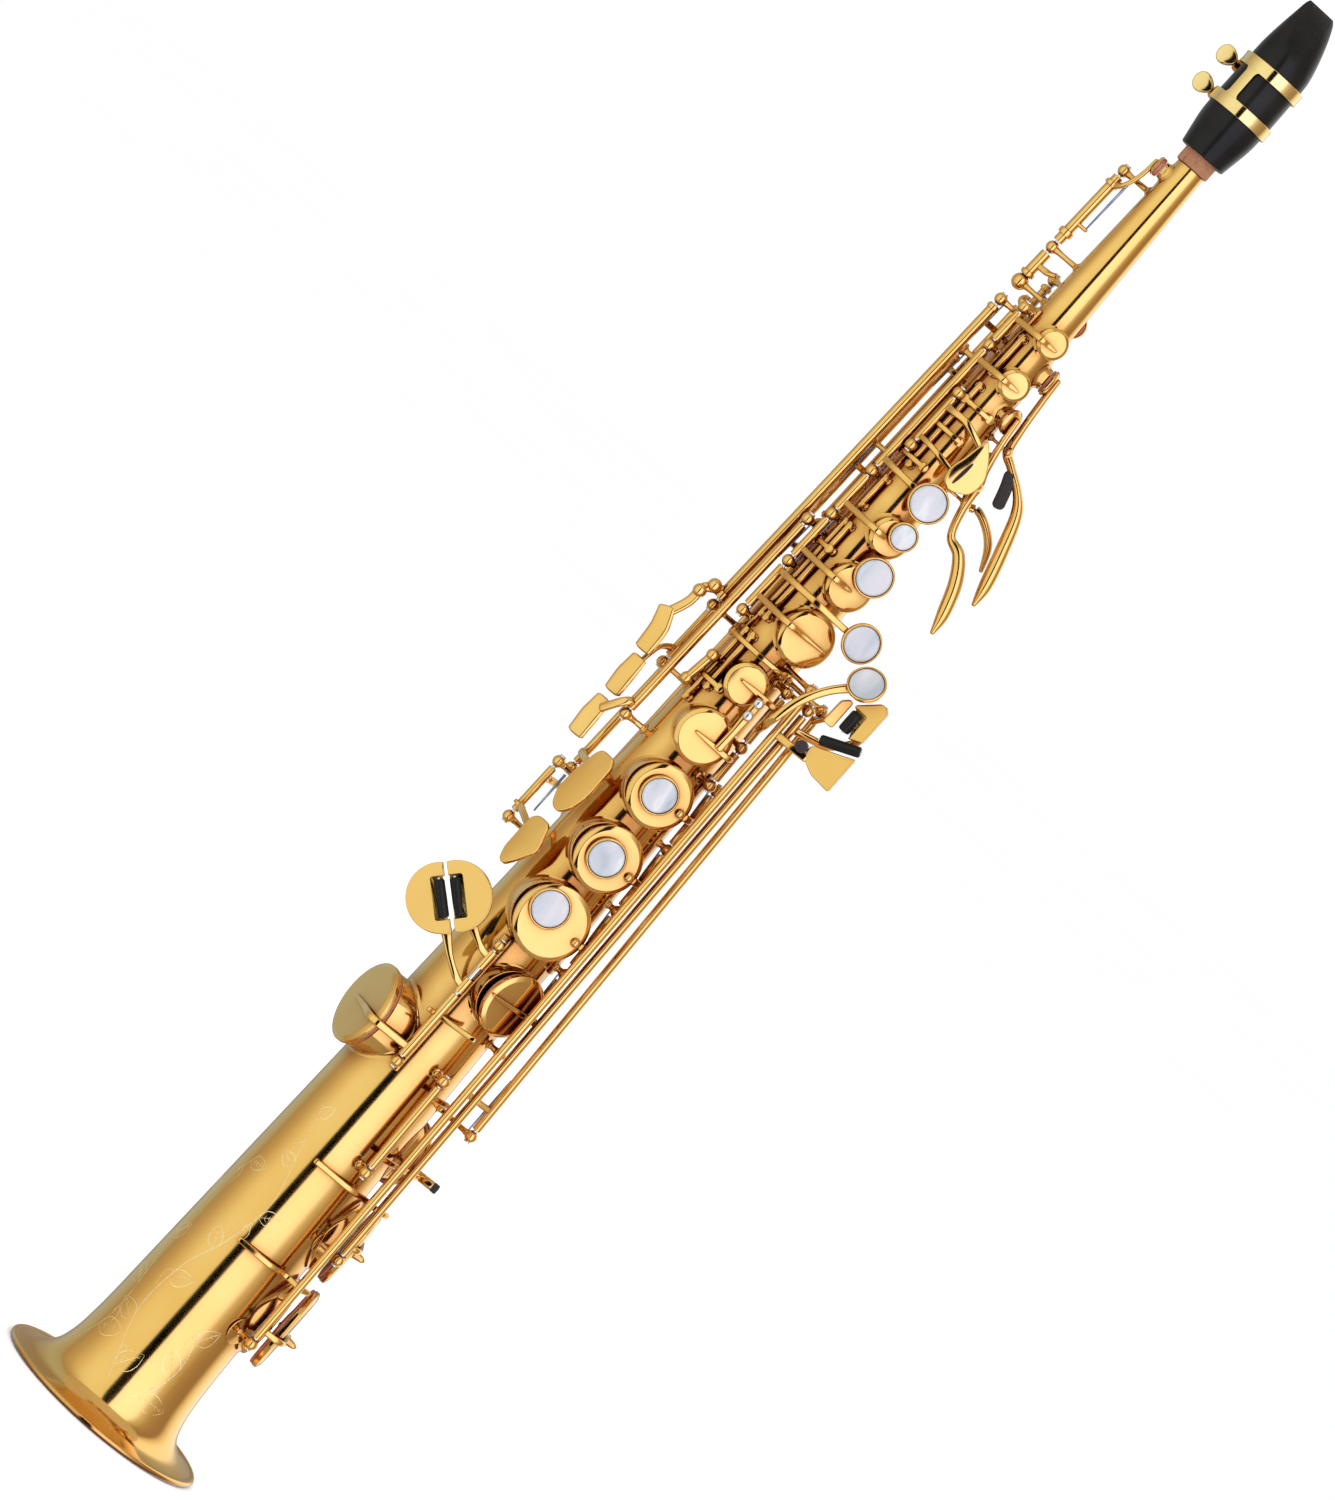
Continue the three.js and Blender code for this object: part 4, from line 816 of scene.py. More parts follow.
def adjusting_screw(z):
    """A domed silver screw in the bridge over the G sharp cup."""
    return turned([(0, 0), (1.9, 0), (2.0, 1.2), (1.2, 2.0), (0, 2.2)], Vector((9.5, -24.2, z)), (0, -1, 0),
                  24, 0.25)


def g_sharp_and_f_sharp():
    line = "g_sharp_key"
    key("g_sharp_key", [
        tube(line, 353.4, 374), cup_arm(line, 370, "g_sharp", [at(46, 24.6, 370)]),
        bar([hinge_at(line, 360), (17.2, -21.8, 361), (18.6, -28.6, 368),
             (21.4, -30, 379), (27.8, -27.6, 389.8), (36, -25.5, 397.8)],
            [3, 3, 3.4, 3.6, 3.4, 4], [1.8, 1.8, 2, 2, 1.8, 1.6], (0, -1, 0)),
    ], "g_sharp", False, [(G_SHARP_PEARL, G_SHARP_FACE, 6.6)])
    key("f_sharp_key", [
        tube(line, 335, 347.4), cup_arm(line, 344.5, "f_sharp", (), 0.35),
        bar([(9.5, -22.4, 345), (9.5, -23.6, 353), (9.5, -23.8, 360),
             (9.5, -23.8, 369)], [3.4, 3, 3.6, 3.6], 1.6, (0, -1, 0)),
    ], "f_sharp", True)
    piece("f_sharp_key.screws", adjusting_screw(361.6) + adjusting_screw(367.6), "f_sharp_key",
          "screw_steel", (), rest_turn("f_sharp_key"))


def right_hand_stack():
    for name, hole, low, high, turn, up, radius in [
        ("f_key", "f", 305.4, 328.6, -4, 0.5, 6.8), ("e_key", "e", 275.4, 299.6, -5, 0.3, 7),
        ("d_key", "d", 246.4, 269.6, -12, 4, 7.2),
    ]:
        centre = cup_top(hole, -0.5, turn, up)
        key(name, [tube("f_key", low, high), side_arm("f_key", HOLES[hole][1], hole)], hole, True,
            [(centre, outward(HOLES[hole][0]), radius)])


# ---------------------------------------------------------------- little-finger touches
TOUCH_MIDDLE = Vector((-28.2, 237.2))     # x, z between the two half-round touches
TOUCH_SLANT = Vector((0.751, -0.66))      # the way the gap between them runs
TOUCH_RADIUS = 13.5
TOUCH_Y = -26.6
ROLLER_HALF, ROLLER_RADIUS = 7.4, 2.1


def beside_gap(s, t):
    """(x, z) of a place beside the gap: `s` along it, `t` across it."""
    return TOUCH_MIDDLE + TOUCH_SLANT * s + Vector((-TOUCH_SLANT.y, TOUCH_SLANT.x)) * t


def half_round(side):
    """A half-round touch on one side of the gap, notched for its roller."""
    edge, middle = 0.7, 3
    start = math.asin((edge - middle) / TOUCH_RADIUS)
    arc = [(TOUCH_RADIUS * math.cos(a), middle + TOUCH_RADIUS * math.sin(a))
           for a in (start + (math.pi - 2 * start) * i / 40 for i in range(41))]
    slot = ROLLER_HALF + 0.5
    deep = edge + 2 * ROLLER_RADIUS + 0.9
    notch = fillet([arc[-1], (-slot, edge), (-slot, deep), (slot, deep), (slot, edge), arc[0]], 0.6, 3)
    outline = [beside_gap(s * side, t * side) for s, t in [*arc, *notch[1:-1]]]
    return plate(ordered(outline), front(TOUCH_Y, -8, TOUCH_MIDDLE.x), 1.8, 0.35)


def ordered(outline):
    """The outline, anticlockwise."""
    area = sum(a.x * b.y - b.x * a.y for a, b in zip(outline, outline[1:] + outline[:1]))
    return outline if area > 0 else outline[::-1]


def touch_roller(side):
    t = side * (0.9 + ROLLER_RADIUS)
    start, end = beside_gap(-ROLLER_HALF, t), beside_gap(ROLLER_HALF, t)
    return Vector((start.x, TOUCH_Y - 1.2, start.y)), Vector((end.x, TOUCH_Y - 1.2, end.y))


def roller(name, parent, start, end, radius, rests_open=False):
    """A black roller with rounded ends, on its steel pin."""
    turn = rest_turn(parent) if rests_open else None
    along = (end - start).normalized()
    length = (end - start).length
    profile = [(0, 0.1), (radius * 0.8, 0.1), (radius, 0.7), (radius * 1.02, length / 2),
               (radius, length - 0.7), (radius * 0.8, length - 0.1), (0, length - 0.1)]
    piece(name + ".barrel", turned(profile, start, along, 40, 0.35), name, "roller_black", [name], turn)
    pin = rod(start - along * 0.45, end + along * 0.45, 0.55, 0.1, 16)
    piece(name + ".pin", pin, parent, "screw_steel", (), turn)


def little_finger_keys():
    line = "e_flat_key"
    key("e_flat_lever", [
        tube(line, 224.6, 232.6, 2), half_round(1),
        bar([hinge_at(line, 230), (-6, -26.2, 230.5), (-10, -26.8, 232.3),
             (-16.5, -27.2, 236)], [2.8, 2.8, 2.8, 4.5], 1.9, (0, -1, 0)),
    ])
    key("low_c_lever", [
        tube(line, 212.4, 219, 2), half_round(-1),
        bar([hinge_at(line, 215), (-7, -26.4, 216.5), (-14, -26.8, 221),
             (-21.5, -27.2, 227.5)], [2.8, 2.8, 2.8, 4.5], 1.9, (0, -1, 0)),
    ])
    key("e_flat_key", [
        tube(line, 181, 211.2, 2), cup_arm(line, 184.5, "e_flat", (), 0.3, 3.0),
        bar([(-6.5, -27.8, 200.8), hinge_at(line, 201), (14, -27.6, 203)], 2.2, 1.6),
    ], "e_flat")
    key("low_c_key", [
        tube("low_c_key", 206, 238.6), cup_arm("low_c_key", 221, "low_c", (), 1.0),
    ], "low_c", True)
    roller("e_flat_roller", "e_flat_lever", *touch_roller(1), ROLLER_RADIUS)
    roller("low_c_roller", "low_c_lever", *touch_roller(-1), ROLLER_RADIUS)


# ---------------------------------------------------------------- left-hand table and low keys
TABLE_Y = -20.2
STOP_LIFT = 6.6                  # height of a stop arm's tip when its key is closed


def stop_arm(name, z, end_phi):
    """The arm that rests a low key on the front of the body when it stands open."""
    start = hinge_at(name, z)
    phi, r, _ = polar(start)
    low = body_radius(z) + STOP_LIFT
    return bar([at(phi + 9, r + 0.5, z), start, at(phi - 10, r - 5.2, z), at(phi - 28, low - 0.6, z),
                at(end_phi, low, z)], 2.4, 1.7)


def stop_felt(z, end_phi):
    """The pad of felt under a stop arm's tip."""
    low = body_radius(z) + STOP_LIFT - 0.7
    return turned([(0, -1.6), (1.3, -1.6), (1.3, 0), (0, 0)], at(end_phi + 5, low, z), outward(end_phi + 5),
                  20, 0.3)


def spur(hole, z, height=6):
    """The turned foot for a key guard's bumper on the middle of a low cup."""
    start = on_cup(hole, 0, -0.4, z)
    direction = outward(HOLES[hole][0])
    return turned([(0, 0), (3.4, 0), (1.9, 1.2), (1.5, 3.2), (1.2, height - 1), (0.5, height), (0, height)],
                  start, direction, 28, 0.6)


def table_plate(points, rounding=1.1, lean=0):
    return plate(ordered(rounded(points, rounding)), front(TABLE_Y, lean, 36), 1.8, 0.45)


def low_keys():
    line = "low_c_sharp_lever"
    key(line, [
        tube(line, 175, 377),
        table_plate([(32.4, 378.6), (37, 378.6), (37, 391), (35.4, 391.4), (32.8, 389)], lean=7),
        bar([hinge_at(line, 375), (33, -15, 379), (34.8, TABLE_Y - 0.4, 382)],
            3, ARM_DEPTH),
        bar([hinge_at(line, 184), (31, -7.5, 184), (26.5, -9.5, 184)],
            2.6, ARM_DEPTH),
    ])
    line = "low_c_sharp_key"
    key(line, [
        tube(line, 141, 180),
        cup_arm(line, 146, "low_c_sharp", [at(52, 27.4, 146), at(75, 28, 146), at(88, 30.6, 146)], 0.3),
        rod(at(98, 31.6, 146.5), at(95, 39.2, 147), 1.9, 0.4),
        bar([hinge_at(line, 176), at(48, 27, 176), at(58, 26.8, 176)], 2.4, ARM_DEPTH),
    ], "low_c_sharp", felts=rod(at(95, 38.9, 147), at(95, 41.5, 147), 2.0, 0.5))
    line = "low_b_key"
    key(line, [
        tube(line, 108, 374.6), cup_arm(line, 112, "low_b", (), 0.3), spur("low_b", 107.5),
        stop_arm(line, 129, 3),
        table_plate([(44.8, 379.8), (50.2, 382), (50.4, 396.4), (48.6, 398.2), (46, 398), (39, 391.4),
                     (39, 390.2), (44.8, 390.2)], 0.7),
        bar([hinge_at(line, 368.6), (33, -14.4, 370), (40, -11.8, 372.5),
             (46.5, -12.4, 379.5), (47.6, -16.6, 384), (47.8, TABLE_Y - 0.4, 388)],
            3.2, ARM_DEPTH, (0, -1, 0)),
    ], "low_b", True, felts=stop_felt(129, 3))
    line = "low_b_flat_key"
    key(line, [
        tube(line, 63, 381), cup_arm(line, 67, "low_b_flat", (), 0.3),
        spur("low_b_flat", 66), stop_arm(line, 88, -2),
        table_plate([(35.8, 366), (38.4, 362.6), (43, 360.6), (52, 360), (52, 376), (35.8, 369.1)]),
        bar([hinge_at(line, 363.4), (30, -22, 363.6), (37.4, TABLE_Y - 0.8, 364)],
            3.2, ARM_DEPTH, (0, -1, 0)),
    ], "low_b_flat", True,
        felts=stop_felt(88, -2) + rod(Vector((33.4, -19.6, 366.3)), Vector((33.4, -24, 366.3)), 2.4, 0.7))
    y = TABLE_Y - 1
    roller("low_b_roller", "low_b_key", Vector((41.6, y, 380.6)), Vector((41.6, y, 389.6)), 2.4, True)
    roller("low_b_flat_roller", "low_b_flat_key", Vector((36.6, y, 372.7)), Vector((51.6, y, 379.2)),
           ROLLER_RADIUS, True)


# ---------------------------------------------------------------- side keys and high keys
def side_touch(x, low, high, flare):
    """A side touch: a crowned bar that stands beside the body, its lower end rounded."""
    y = -4.6
    return bar([(x - flare, y, high), (x - flare * 0.35, y - 0.4, high - 5),
                (x, y - 0.6, (low + high) / 2), (x + 0.4, y - 0.4, low + 0.6)],
               [6.6, 7.4, 7.8, 7.2], [2.0, 2.5, 2.8, 2.4], (-0.3, -1, 0), 8, 3.4)


def side_keys():
    line = "side_e_key"
    key(line, [
        tube(line, 386.4, 537.2, 2.1), collar(line, 536, 2.6), collar(line, 388, 3.4, 1.5),
        cup_arm(line, 530, "side_e", [at(-104, 15.2, 530), at(-124, 14.6, 530)]),
        bar([hinge_at(line, 390), (-33.4, -4, 386), (-34.4, -4.8, 378),
             (-38, -4.6, 369)], 4, 2.2, (-0.4, -1, 0)),
        ball(Vector((-31, -3.4, 389)), 2.8), ball(Vector((-34, -4.6, 384)), 2.7),
        side_touch(-36, 353, 371, 3),
    ], "side_e")
    line = "side_c_key"
    key(line, [
        tube(line, 357.4, 466), cup_arm(line, 458, "side_c"),
        bar([hinge_at(line, 361), (-31.5, 1.4, 357.5), (-33.6, -4.6, 346)],
            3.4, ARM_DEPTH, (-1, -0.3, 0)),
        side_touch(-34.2, 333.6, 349.8, 0),
    ], "side_c")
    line = "side_b_flat_key"
    key(line, [
        tube(line, 333.8, 428),
        cup_arm(line, 420, "side_b_flat", [at(-86, 19.4, 420), at(-104, 18.2, 420)]),
        bar([hinge_at(line, 337), (-28, -9.6, 334), (-32.6, -6.2, 326.5)],
            3.4, ARM_DEPTH, (-0.5, -1, 0)),
        side_touch(-34.2, 312.6, 329.6, 0),
    ], "side_b_flat")


HIGH_FACE = outward(-38)
HIGH_F_SHARP_OUTLINE = [(4.5, 14.5), (-2.5, 14.5), (-4.5, 11), (-6.6, 0), (-7, -8), (-4, -13.6),
                        (0, -14.6), (4, -11), (6.6, -3), (6.6, 11)]
HIGH_G_OUTLINE = [(3, 11), (-3.6, 11), (-6.4, 8), (-6.6, -7), (-4.6, -11.5), (-1.6, -12), (1.6, -8),
                  (6.8, -0.5), (6.6, 2.5)]


def high_touch(outline, centre):
    return plate(ordered(rounded(outline, 2.6, 5)), facing(centre, HIGH_FACE), 1.8, 0.5, 0.25)


def high_keys():
    line = "high_f_sharp_key"
    key(line, [
        tube(line, 303.4, 514), collar(line, 512.6, 2.4),
        cup_arm(line, 508, "high_f_sharp", [at(-127, 17.4, 508), at(-142, 15.6, 508)]),
        high_touch(HIGH_F_SHARP_OUTLINE, Vector((-18.8, -17.2, 301.5))),
        bar([hinge_at(line, 308.4), at(-100, 28, 308.4), at(-78, 26.4, 308.4), (-20, -17.4, 308)],
            3, ARM_DEPTH),
    ], "high_f_sharp")
    line = "high_g_lever"
    key(line, [
        tube(line, 275.2, 296.8, 1.6), collar(line, 278, 2.6, 0.8),
        high_touch(HIGH_G_OUTLINE, Vector((-19.6, -18, 270.8))),
        bar([hinge_at(line, 278), (-29, -7, 277.6), (-22.4, -16.8, 275)], 3, ARM_DEPTH),
        bar([hinge_at(line, 292), (-29.4, 10.4, 292), (-25.4, 16.4, 292)], 3, ARM_DEPTH),
    ])
    line = "high_g_key"
    key(line, [
        tube(line, 287.4, 556), collar(line, 554.6, 2.4),
        cup_arm(line, 551, "high_g", [at(-168, 17.4, 551), at(176, 15.4, 551)]),
        bar([hinge_at(line, 296), at(-142, 30.6, 296), at(-135, 29.4, 296)], 2.6, ARM_DEPTH),
    ], "high_g")


# ---------------------------------------------------------------- body tube
TENON_RADIUS, TENON_TOP, WALL = 5.4, 648, 1.2
OUTSIDE = [(43.2, 0), (44.4, 0.1), (45.2, 0.8), (45.3, 1.6), (44.7, 2.4), (43.6, 2.6), (42.8, 2.2),
           (40, 2.8), (36, 4.1), (32.6, 6.4), (30.5, 8.6), (29.2, 11), (28, 15), (27, 20), (26.1, 30),
           (25.6, 40), *[(body_radius(z), z) for z in (50, 330, BODY_TOP - 5, BODY_TOP)],
           (TENON_RADIUS, BODY_TOP), (TENON_RADIUS, TENON_TOP)]
INSIDE = [(TENON_RADIUS - WALL, TENON_TOP), (TENON_RADIUS - WALL, BODY_TOP - 20),
          (body_radius(330) - WALL, 330), (body_radius(50) - WALL, 50), (24.4, 40), (24.9, 30),
          (25.8, 20), (26.8, 15), (28, 11), (29.4, 8), (31.8, 5.2), (35.6, 2.7), (40.5, 0.6), (42, 0.05)]


def cut(made, cutters):
    """Cuts the cutters' shapes out of a piece, which stays one mesh."""
    shape = sum(cutters, Skin())
    mesh = closed_mesh("cutter", shape.points, shape.faces)
    cutter = into_scene("cutter", mesh)
    modifier = made.modifiers.new("cut", "BOOLEAN")
    modifier.object, modifier.operation, modifier.solver = cutter, "DIFFERENCE", "EXACT"
    shaped = made.evaluated_get(bpy.context.evaluated_depsgraph_get())
    result = bpy.data.meshes.new_from_object(shaped)
    made.modifiers.clear()
    made.data = result
    bpy.data.objects.remove(cutter)
    bpy.data.meshes.remove(mesh)


def true_normals(mesh):
    """Gives the outer skin of the cone the normals of the cone itself, so that it mirrors cleanly
    right up to the holes in it."""
    tilt = math.atan(TAPER)
    normals = [Vector(n.vector) for n in mesh.corner_normals]
    for face in mesh.polygons:
        z = face.center.z / MM
        if not 50 < z < BODY_TOP - 1:
            continue
        radial = Vector((face.center.x, face.center.y, 0)).normalized()
        if face.normal.dot(radial) < 0.97:
            continue
        for corner in face.loop_indices:
            place = mesh.vertices[mesh.loops[corner].vertex_index].co
            radial = Vector((place.x, place.y, 0)).normalized()
            normals[corner] = radial * math.cos(tilt) + Vector((0, 0, math.sin(tilt)))
    mesh.normals_split_custom_set([tuple(n) for n in normals])


def chimney_sizes(hole):
    """Outer and inner radius of a tone hole's chimney."""
    radius = HOLES[hole][2]
    return radius - 0.9, radius - 0.9 - (1.1 if radius > 4 else 0.9)


def chimney(hole):
    """A drawn tone hole: its wall rises out of the body with a soft root, and its rim is level."""
    phi, z, _, height = HOLES[hole]
    outer, inner = chimney_sizes(hole)
    top = body_radius(z) + height
    along = Vector((math.cos(math.radians(phi)), math.sin(math.radians(phi)), 0))
    out = outward(phi)
    rings = []
    for spread_out, lift, level in [
        (1.5, -0.15, None), (1.1, 0.06, None), (0.6, 0.22, None), (0.25, 0.5, None), (0.05, 0.95, None),
        (0, 1.3, None), (0, None, -0.3), (-0.1, None, -0.08), (-0.3, None, 0),
        (inner - outer + 0.25, None, 0), (inner - outer + 0.05, None, -0.1), (inner - outer, None, -0.35),
        (inner - outer, -1.3, None),
    ]:
        ring = []
        for a in circle(64):
            reach = outer + spread_out
            aside, up = reach * math.cos(a), reach * math.sin(a)
            surface = math.sqrt(max(body_radius(z + up) ** 2 - aside ** 2, 1))
            distance = top + level if lift is None else min(surface + lift, top - 0.3)
            ring.append(out * distance + along * aside + Vector((0, 0, z + up)))
        rings.append(ring)
    return loft(rings, True)


def body_tube():
    outline = fillet(OUTSIDE, 2.2, 4) + fillet(INSIDE, 1.5, 4)
    shell = [(p[0], p[1]) for p in outline]
    walls = turned([*shell, shell[0]], Vector((0, 0, 0)), (0, 0, 1), 160, 0)
    made = piece("body_tube.shell", walls, "body", "body_brass", ["body_tube"], sharp=50)
    bores = []
    for hole, (phi, z, _, _) in HOLES.items():
        outer, inner = chimney_sizes(hole)
        reach = body_radius(z) + 3
        bores.append(rod(at(phi, 0.5, z), at(phi, reach, z), (outer + inner) / 2, 0, 48))
    cut(made, bores)
    made.data.shade_smooth()
    made.data.set_sharp_from_angle(angle=math.radians(50))
    true_normals(made.data)
    piece("body_tube.tone_holes", sum((chimney(hole) for hole in HOLES), Skin()), "body", "body_brass",
          sharp=50)


ENGRAVED_RADIUS = 26
PER_DEGREE = math.radians(1) * ENGRAVED_RADIUS          # how far round the bell one degree goes


def bell_engraving():
    """Leaf sprays cut into the bell: each stroke a shallow bright ribbon on the brass."""
    skin = Skin()

    def on_bell(phi, z):
        knots = sorted((h, r) for r, h in OUTSIDE if h > 2.6 and r > 7)
        for (low, r0), (high, r1) in zip(knots, knots[1:]):
            if low <= z <= high:
                return at(phi, r0 + (r1 - r0) * (z - low) / (high - low) + 0.02, z)
        return at(phi, body_radius(z) + 0.02, z)

    def stroke(places, width):
        nonlocal skin
        path = smooth([Vector(p) for p in places], 7)
        rings = []
        for i, p in enumerate(path):
            here = on_bell(p.x, p.y)
            q, s = path[max(i - 1, 0)], path[min(i + 1, len(path) - 1)]
            along = (on_bell(s.x, s.y) - on_bell(q.x, q.y)).normalized()
            out = Vector((here.x, here.y, 0)).normalized()
            swell = max(0.12, math.sin(math.pi * (i + 0.3) / len(path)) ** 0.6)
            across = along.cross(out) * (width * swell / 2)
            rings.append([here - across - out * 0.05, here + across - out * 0.05, here + out * 0.012])
        skin += loft(rings)

    def leaf(phi, z, turn, length, fat=0.32):
        """One leaf from its stalk: two curved edges, a midrib and side veins."""
        c, s = math.cos(math.radians(turn)), math.sin(math.radians(turn))
        along = Vector((c / PER_DEGREE, s)) * length
        aside = Vector((-s / PER_DEGREE, c)) * length * fat
        start = Vector((phi, z))
        for way in (-1, 1):
            stroke([start, start + along * 0.3 + aside * way * 0.9, start + along * 0.68 + aside * way * 0.75,
                    start + along], 0.5)
            for share in (0.25, 0.42, 0.6, 0.76):
                edge = start + along * (share + 0.09) + aside * way * 0.45 * (1.15 - share)
                stroke([start + along * share, edge], 0.24)
        stroke([start, start + along * 0.5 + aside * 0.06, start + along * 0.92], 0.32)

    for stem in (
        [(-8, 12), (-20, 26), (-34, 44), (-30, 66), (-14, 84), (-6, 106), (-20, 128), (-34, 146)],
        [(-64, 16), (-52, 34), (-58, 56), (-72, 76), (-66, 98), (-50, 116)],
        [(6, 14), (22, 22), (30, 36), (22, 50)],
    ):
        stroke(stem, 0.55)
        path = smooth([Vector(p) for p in stem], 3)
        for i in range(2, len(path) - 1, 3):
            way = 1 if i % 2 else -1
            step = path[i + 1] - path[i - 1]
            heading = math.degrees(math.atan2(step.y, step.x * PER_DEGREE))
            leaf(path[i].x, path[i].y, heading + way * 52, 13 - 0.25 * i)
        for i in range(3, len(path) - 1, 5):
            way = -1 if i % 2 else 1
            curl = [path[i] + Vector((way * 9 * t * math.cos(4.2 * t), 9 * t * math.sin(4.2 * t) * 0.8))
                    for t in (0, 0.25, 0.5, 0.75, 1.0)]
            stroke(curl, 0.34)
    piece("bell_engraving", skin, "body", "body_brass", look="engraved_brass")


# ---------------------------------------------------------------- posts, ribs, springs
def post_skin(centre, foot_height=-0.3, foot=2.4, radius=BALL):
    """A turned post: a round foot, a waisted stem, a collar and the ball that holds a hinge."""
    phi, r, z = polar(centre)
    start = over(phi, foot_height, z)
    tall = r - body_radius(z) - foot_height
    waist = min(1.15, radius * 0.46)
    profile = [(0, 0), (foot, 0), (foot, 0.55), (waist + 0.5, 0.95), (waist, 1.7)]
    if tall > 6:
        profile += [(waist - 0.1, tall * 0.5), (waist, tall - radius - 1.2)]
    profile += [(waist + 0.25, tall - radius * 0.9), (waist, tall - radius * 0.6), (0, tall - radius * 0.5)]
    return turned(profile, start, outward(phi), 28, 0.5) + ball(centre, radius)


SCREW_UPRIGHT = (0.3, 1, 0.1)    # not along any hinge, since a screw may look straight up or down


def screw_head(centre, direction, radius=1.25):
    """The slotted end of a pivot screw: two half-discs with the slot between them."""
    direction = Vector(direction).normalized()
    halves = Skin()
    for way in (-1, 1):
        arc = [Vector((radius * math.cos(a), way * 0.18 + way * radius * math.sin(a) * 0.85))
               for a in (math.pi * i / 12 for i in range(13))]
        halves += plate(ordered(arc), facing(centre, direction, SCREW_UPRIGHT), 0.5, 0.12)
    return halves + turned([(0, -0.6), (radius * 0.95, -0.6), (radius * 0.95, 0.12), (0, 0.12)],
                           centre, direction, 20, 0.08)


STEEL_RADIUS = 0.85


def steel_line(line, low, high):
    """The steel rod through a line of keys, which shows in the gaps between them, and a slotted screw
    in the outer side of the post at each end."""
    start, end = hinge_at(line, low), hinge_at(line, high)
    axis = (end - start).normalized()
    return (rod(start, end, STEEL_RADIUS, 0, 16) + screw_head(start - axis * (BALL - 0.25), -axis)
            + screw_head(end + axis * (BALL - 0.25), axis))


def needle(line, z, length, inward=2.3, aside=0.0):
    """A needle spring from the post at `z` along the hinge, on the body's side of it."""
    start, end = hinge_at(line, z), hinge_at(line, z + length)
    phi, _, _ = polar(start)
    shift = outward(phi) * -inward + outward(phi + 90) * aside
    lean = outward(phi) * 0.5
    a, b = start + shift, end + shift + lean
    way = (b - a).normalized()
    return turned([(0, 0), (0.36, 0), (0.3, abs(length) * 0.5), (0.18, abs(length)), (0, abs(length))],
                  a, way, 12, 0.05, 1)


LINES_OF_POSTS = {
    # line: the heights of its posts on the body tube
    "side_e_key": (383, 540.2), "side_c_key": (354, 469), "side_b_flat_key": (331, 431),
    "high_f_sharp_key": (300.4, 517), "octave_thumb_key": (431.4, 545.6), "high_g_key": (284.4, 559),
    "lower_octave_key": (458.4, 491.6), "upper_octave_key": (550, 567.6, 606.6),
    "high_g_lever": (272, 300), "front_f_key": (477.4, 503.4), "g_sharp_key": (332, 350.3, 377),
    "low_c_sharp_key": (138, 183), "low_b_flat_key": (60, 384), "low_b_key": (105, 377.6),
    "low_c_sharp_lever": (172, 380.2),
}
RIBS = {
    # rib: its line of keys, its angle, its ends and its posts
    "left_hand_rib": ("b_key", -60, 386, 546, (389.5, 414.5, 438.5, 460.5, 524.5, 543.5)),
    "right_hand_rib": ("f_key", 75, 239, 334, (241.7, 272.5, 302.5, 331.6)),
    "pinky_rib": ("e_flat_key", -5.5, 175, 239, (178, 235.6)),
}
WIDE_FEET = {("low_b_flat_key", 60): 6.2, ("low_b_key", 105): 4.6, ("upper_octave_key", 550): 2.0}
NEEDLES = [
    # line, the post it springs from, its length along the line
    ("b_key", 524.5, -16), ("b_key", 460.5, 18), ("b_key", 438.5, -14), ("b_key", 414.5, 13),
    ("b_key", 389.5, 13), ("f_key", 331.6, -15), ("f_key", 302.5, -15), ("f_key", 272.5, -15),
    ("f_key", 241.7, -18), ("e_flat_key", 178, 18), ("g_sharp_key", 377, -13), ("g_sharp_key", 332, 11),
    ("side_e_key", 540.2, -22), ("side_c_key", 469, -20), ("side_b_flat_key", 431, -18),
    ("high_f_sharp_key", 517, -18), ("high_g_key", 559, -18), ("octave_thumb_key", 431.4, 20),
    ("lower_octave_key", 491.6, -15), ("low_c_sharp_key", 138, 18), ("low_b_key", 105, 24),
    ("low_b_flat_key", 60, 26), ("low_c_sharp_lever", 172, 26),
]


LINK_RODS = [                    # angle, and the heights of its ends
    (-44, 350, 386), (-30, 358, 386), (-45, 392, 441), (-34, 392, 441), (-45, 447, 463), (-30, 470, 512),
    (-30, 516, 536),
]
LINK_BARS = [                    # height, and the angles of its ends
    (381, -58, 38), (362, -60, -14), (474, -56, -6), (490, -44, 12), (503.5, -30, 24), (428, -56, -30),
]


PALM_POST_ASIDE = 3.85           # from the middle of a palm key's hinge to the post at each end


def link_rods():
    """Low rods and cross bars that lie between the stack and the body, each on small feet."""
    skin = Skin()
    for phi, low, high in LINK_RODS:
        skin += rod(over(phi, 2, low), over(phi, 2, high), 1.15, 0.3)
        for z in (low + 1.6, high - 1.6):
            skin += turned([(0, 0), (1.9, 0), (1.9, 0.6), (0.9, 1.1), (1.6, 1.8), (1.6, 2.9), (0, 3.2)],
                           over(phi, -0.2, z), outward(phi), 20, 0.35)
    for z, phi0, phi1 in LINK_BARS:
        r = body_radius(z) + 3.4
        skin += bar(sweep((phi0, r, z), (phi1, r, z), 6), 2.1, 1.5)
        for phi in (phi0, phi1):
            skin += turned([(0, 0), (1.8, 0), (1.8, 0.6), (1.0, 1.2), (1.0, 2.6), (1.9, 3.0), (1.9, 4.0),
                            (0, 4.4)], over(phi, -0.2, z), outward(phi), 20, 0.35)
    low, high = Vector((-16, -13, 356.5)), Vector((-14.2, -15, 369.5))
    skin += post_skin(low) + post_skin(high) + rod(low, high, TUBE)
    piece("link_rods", skin, "body", "body_brass")


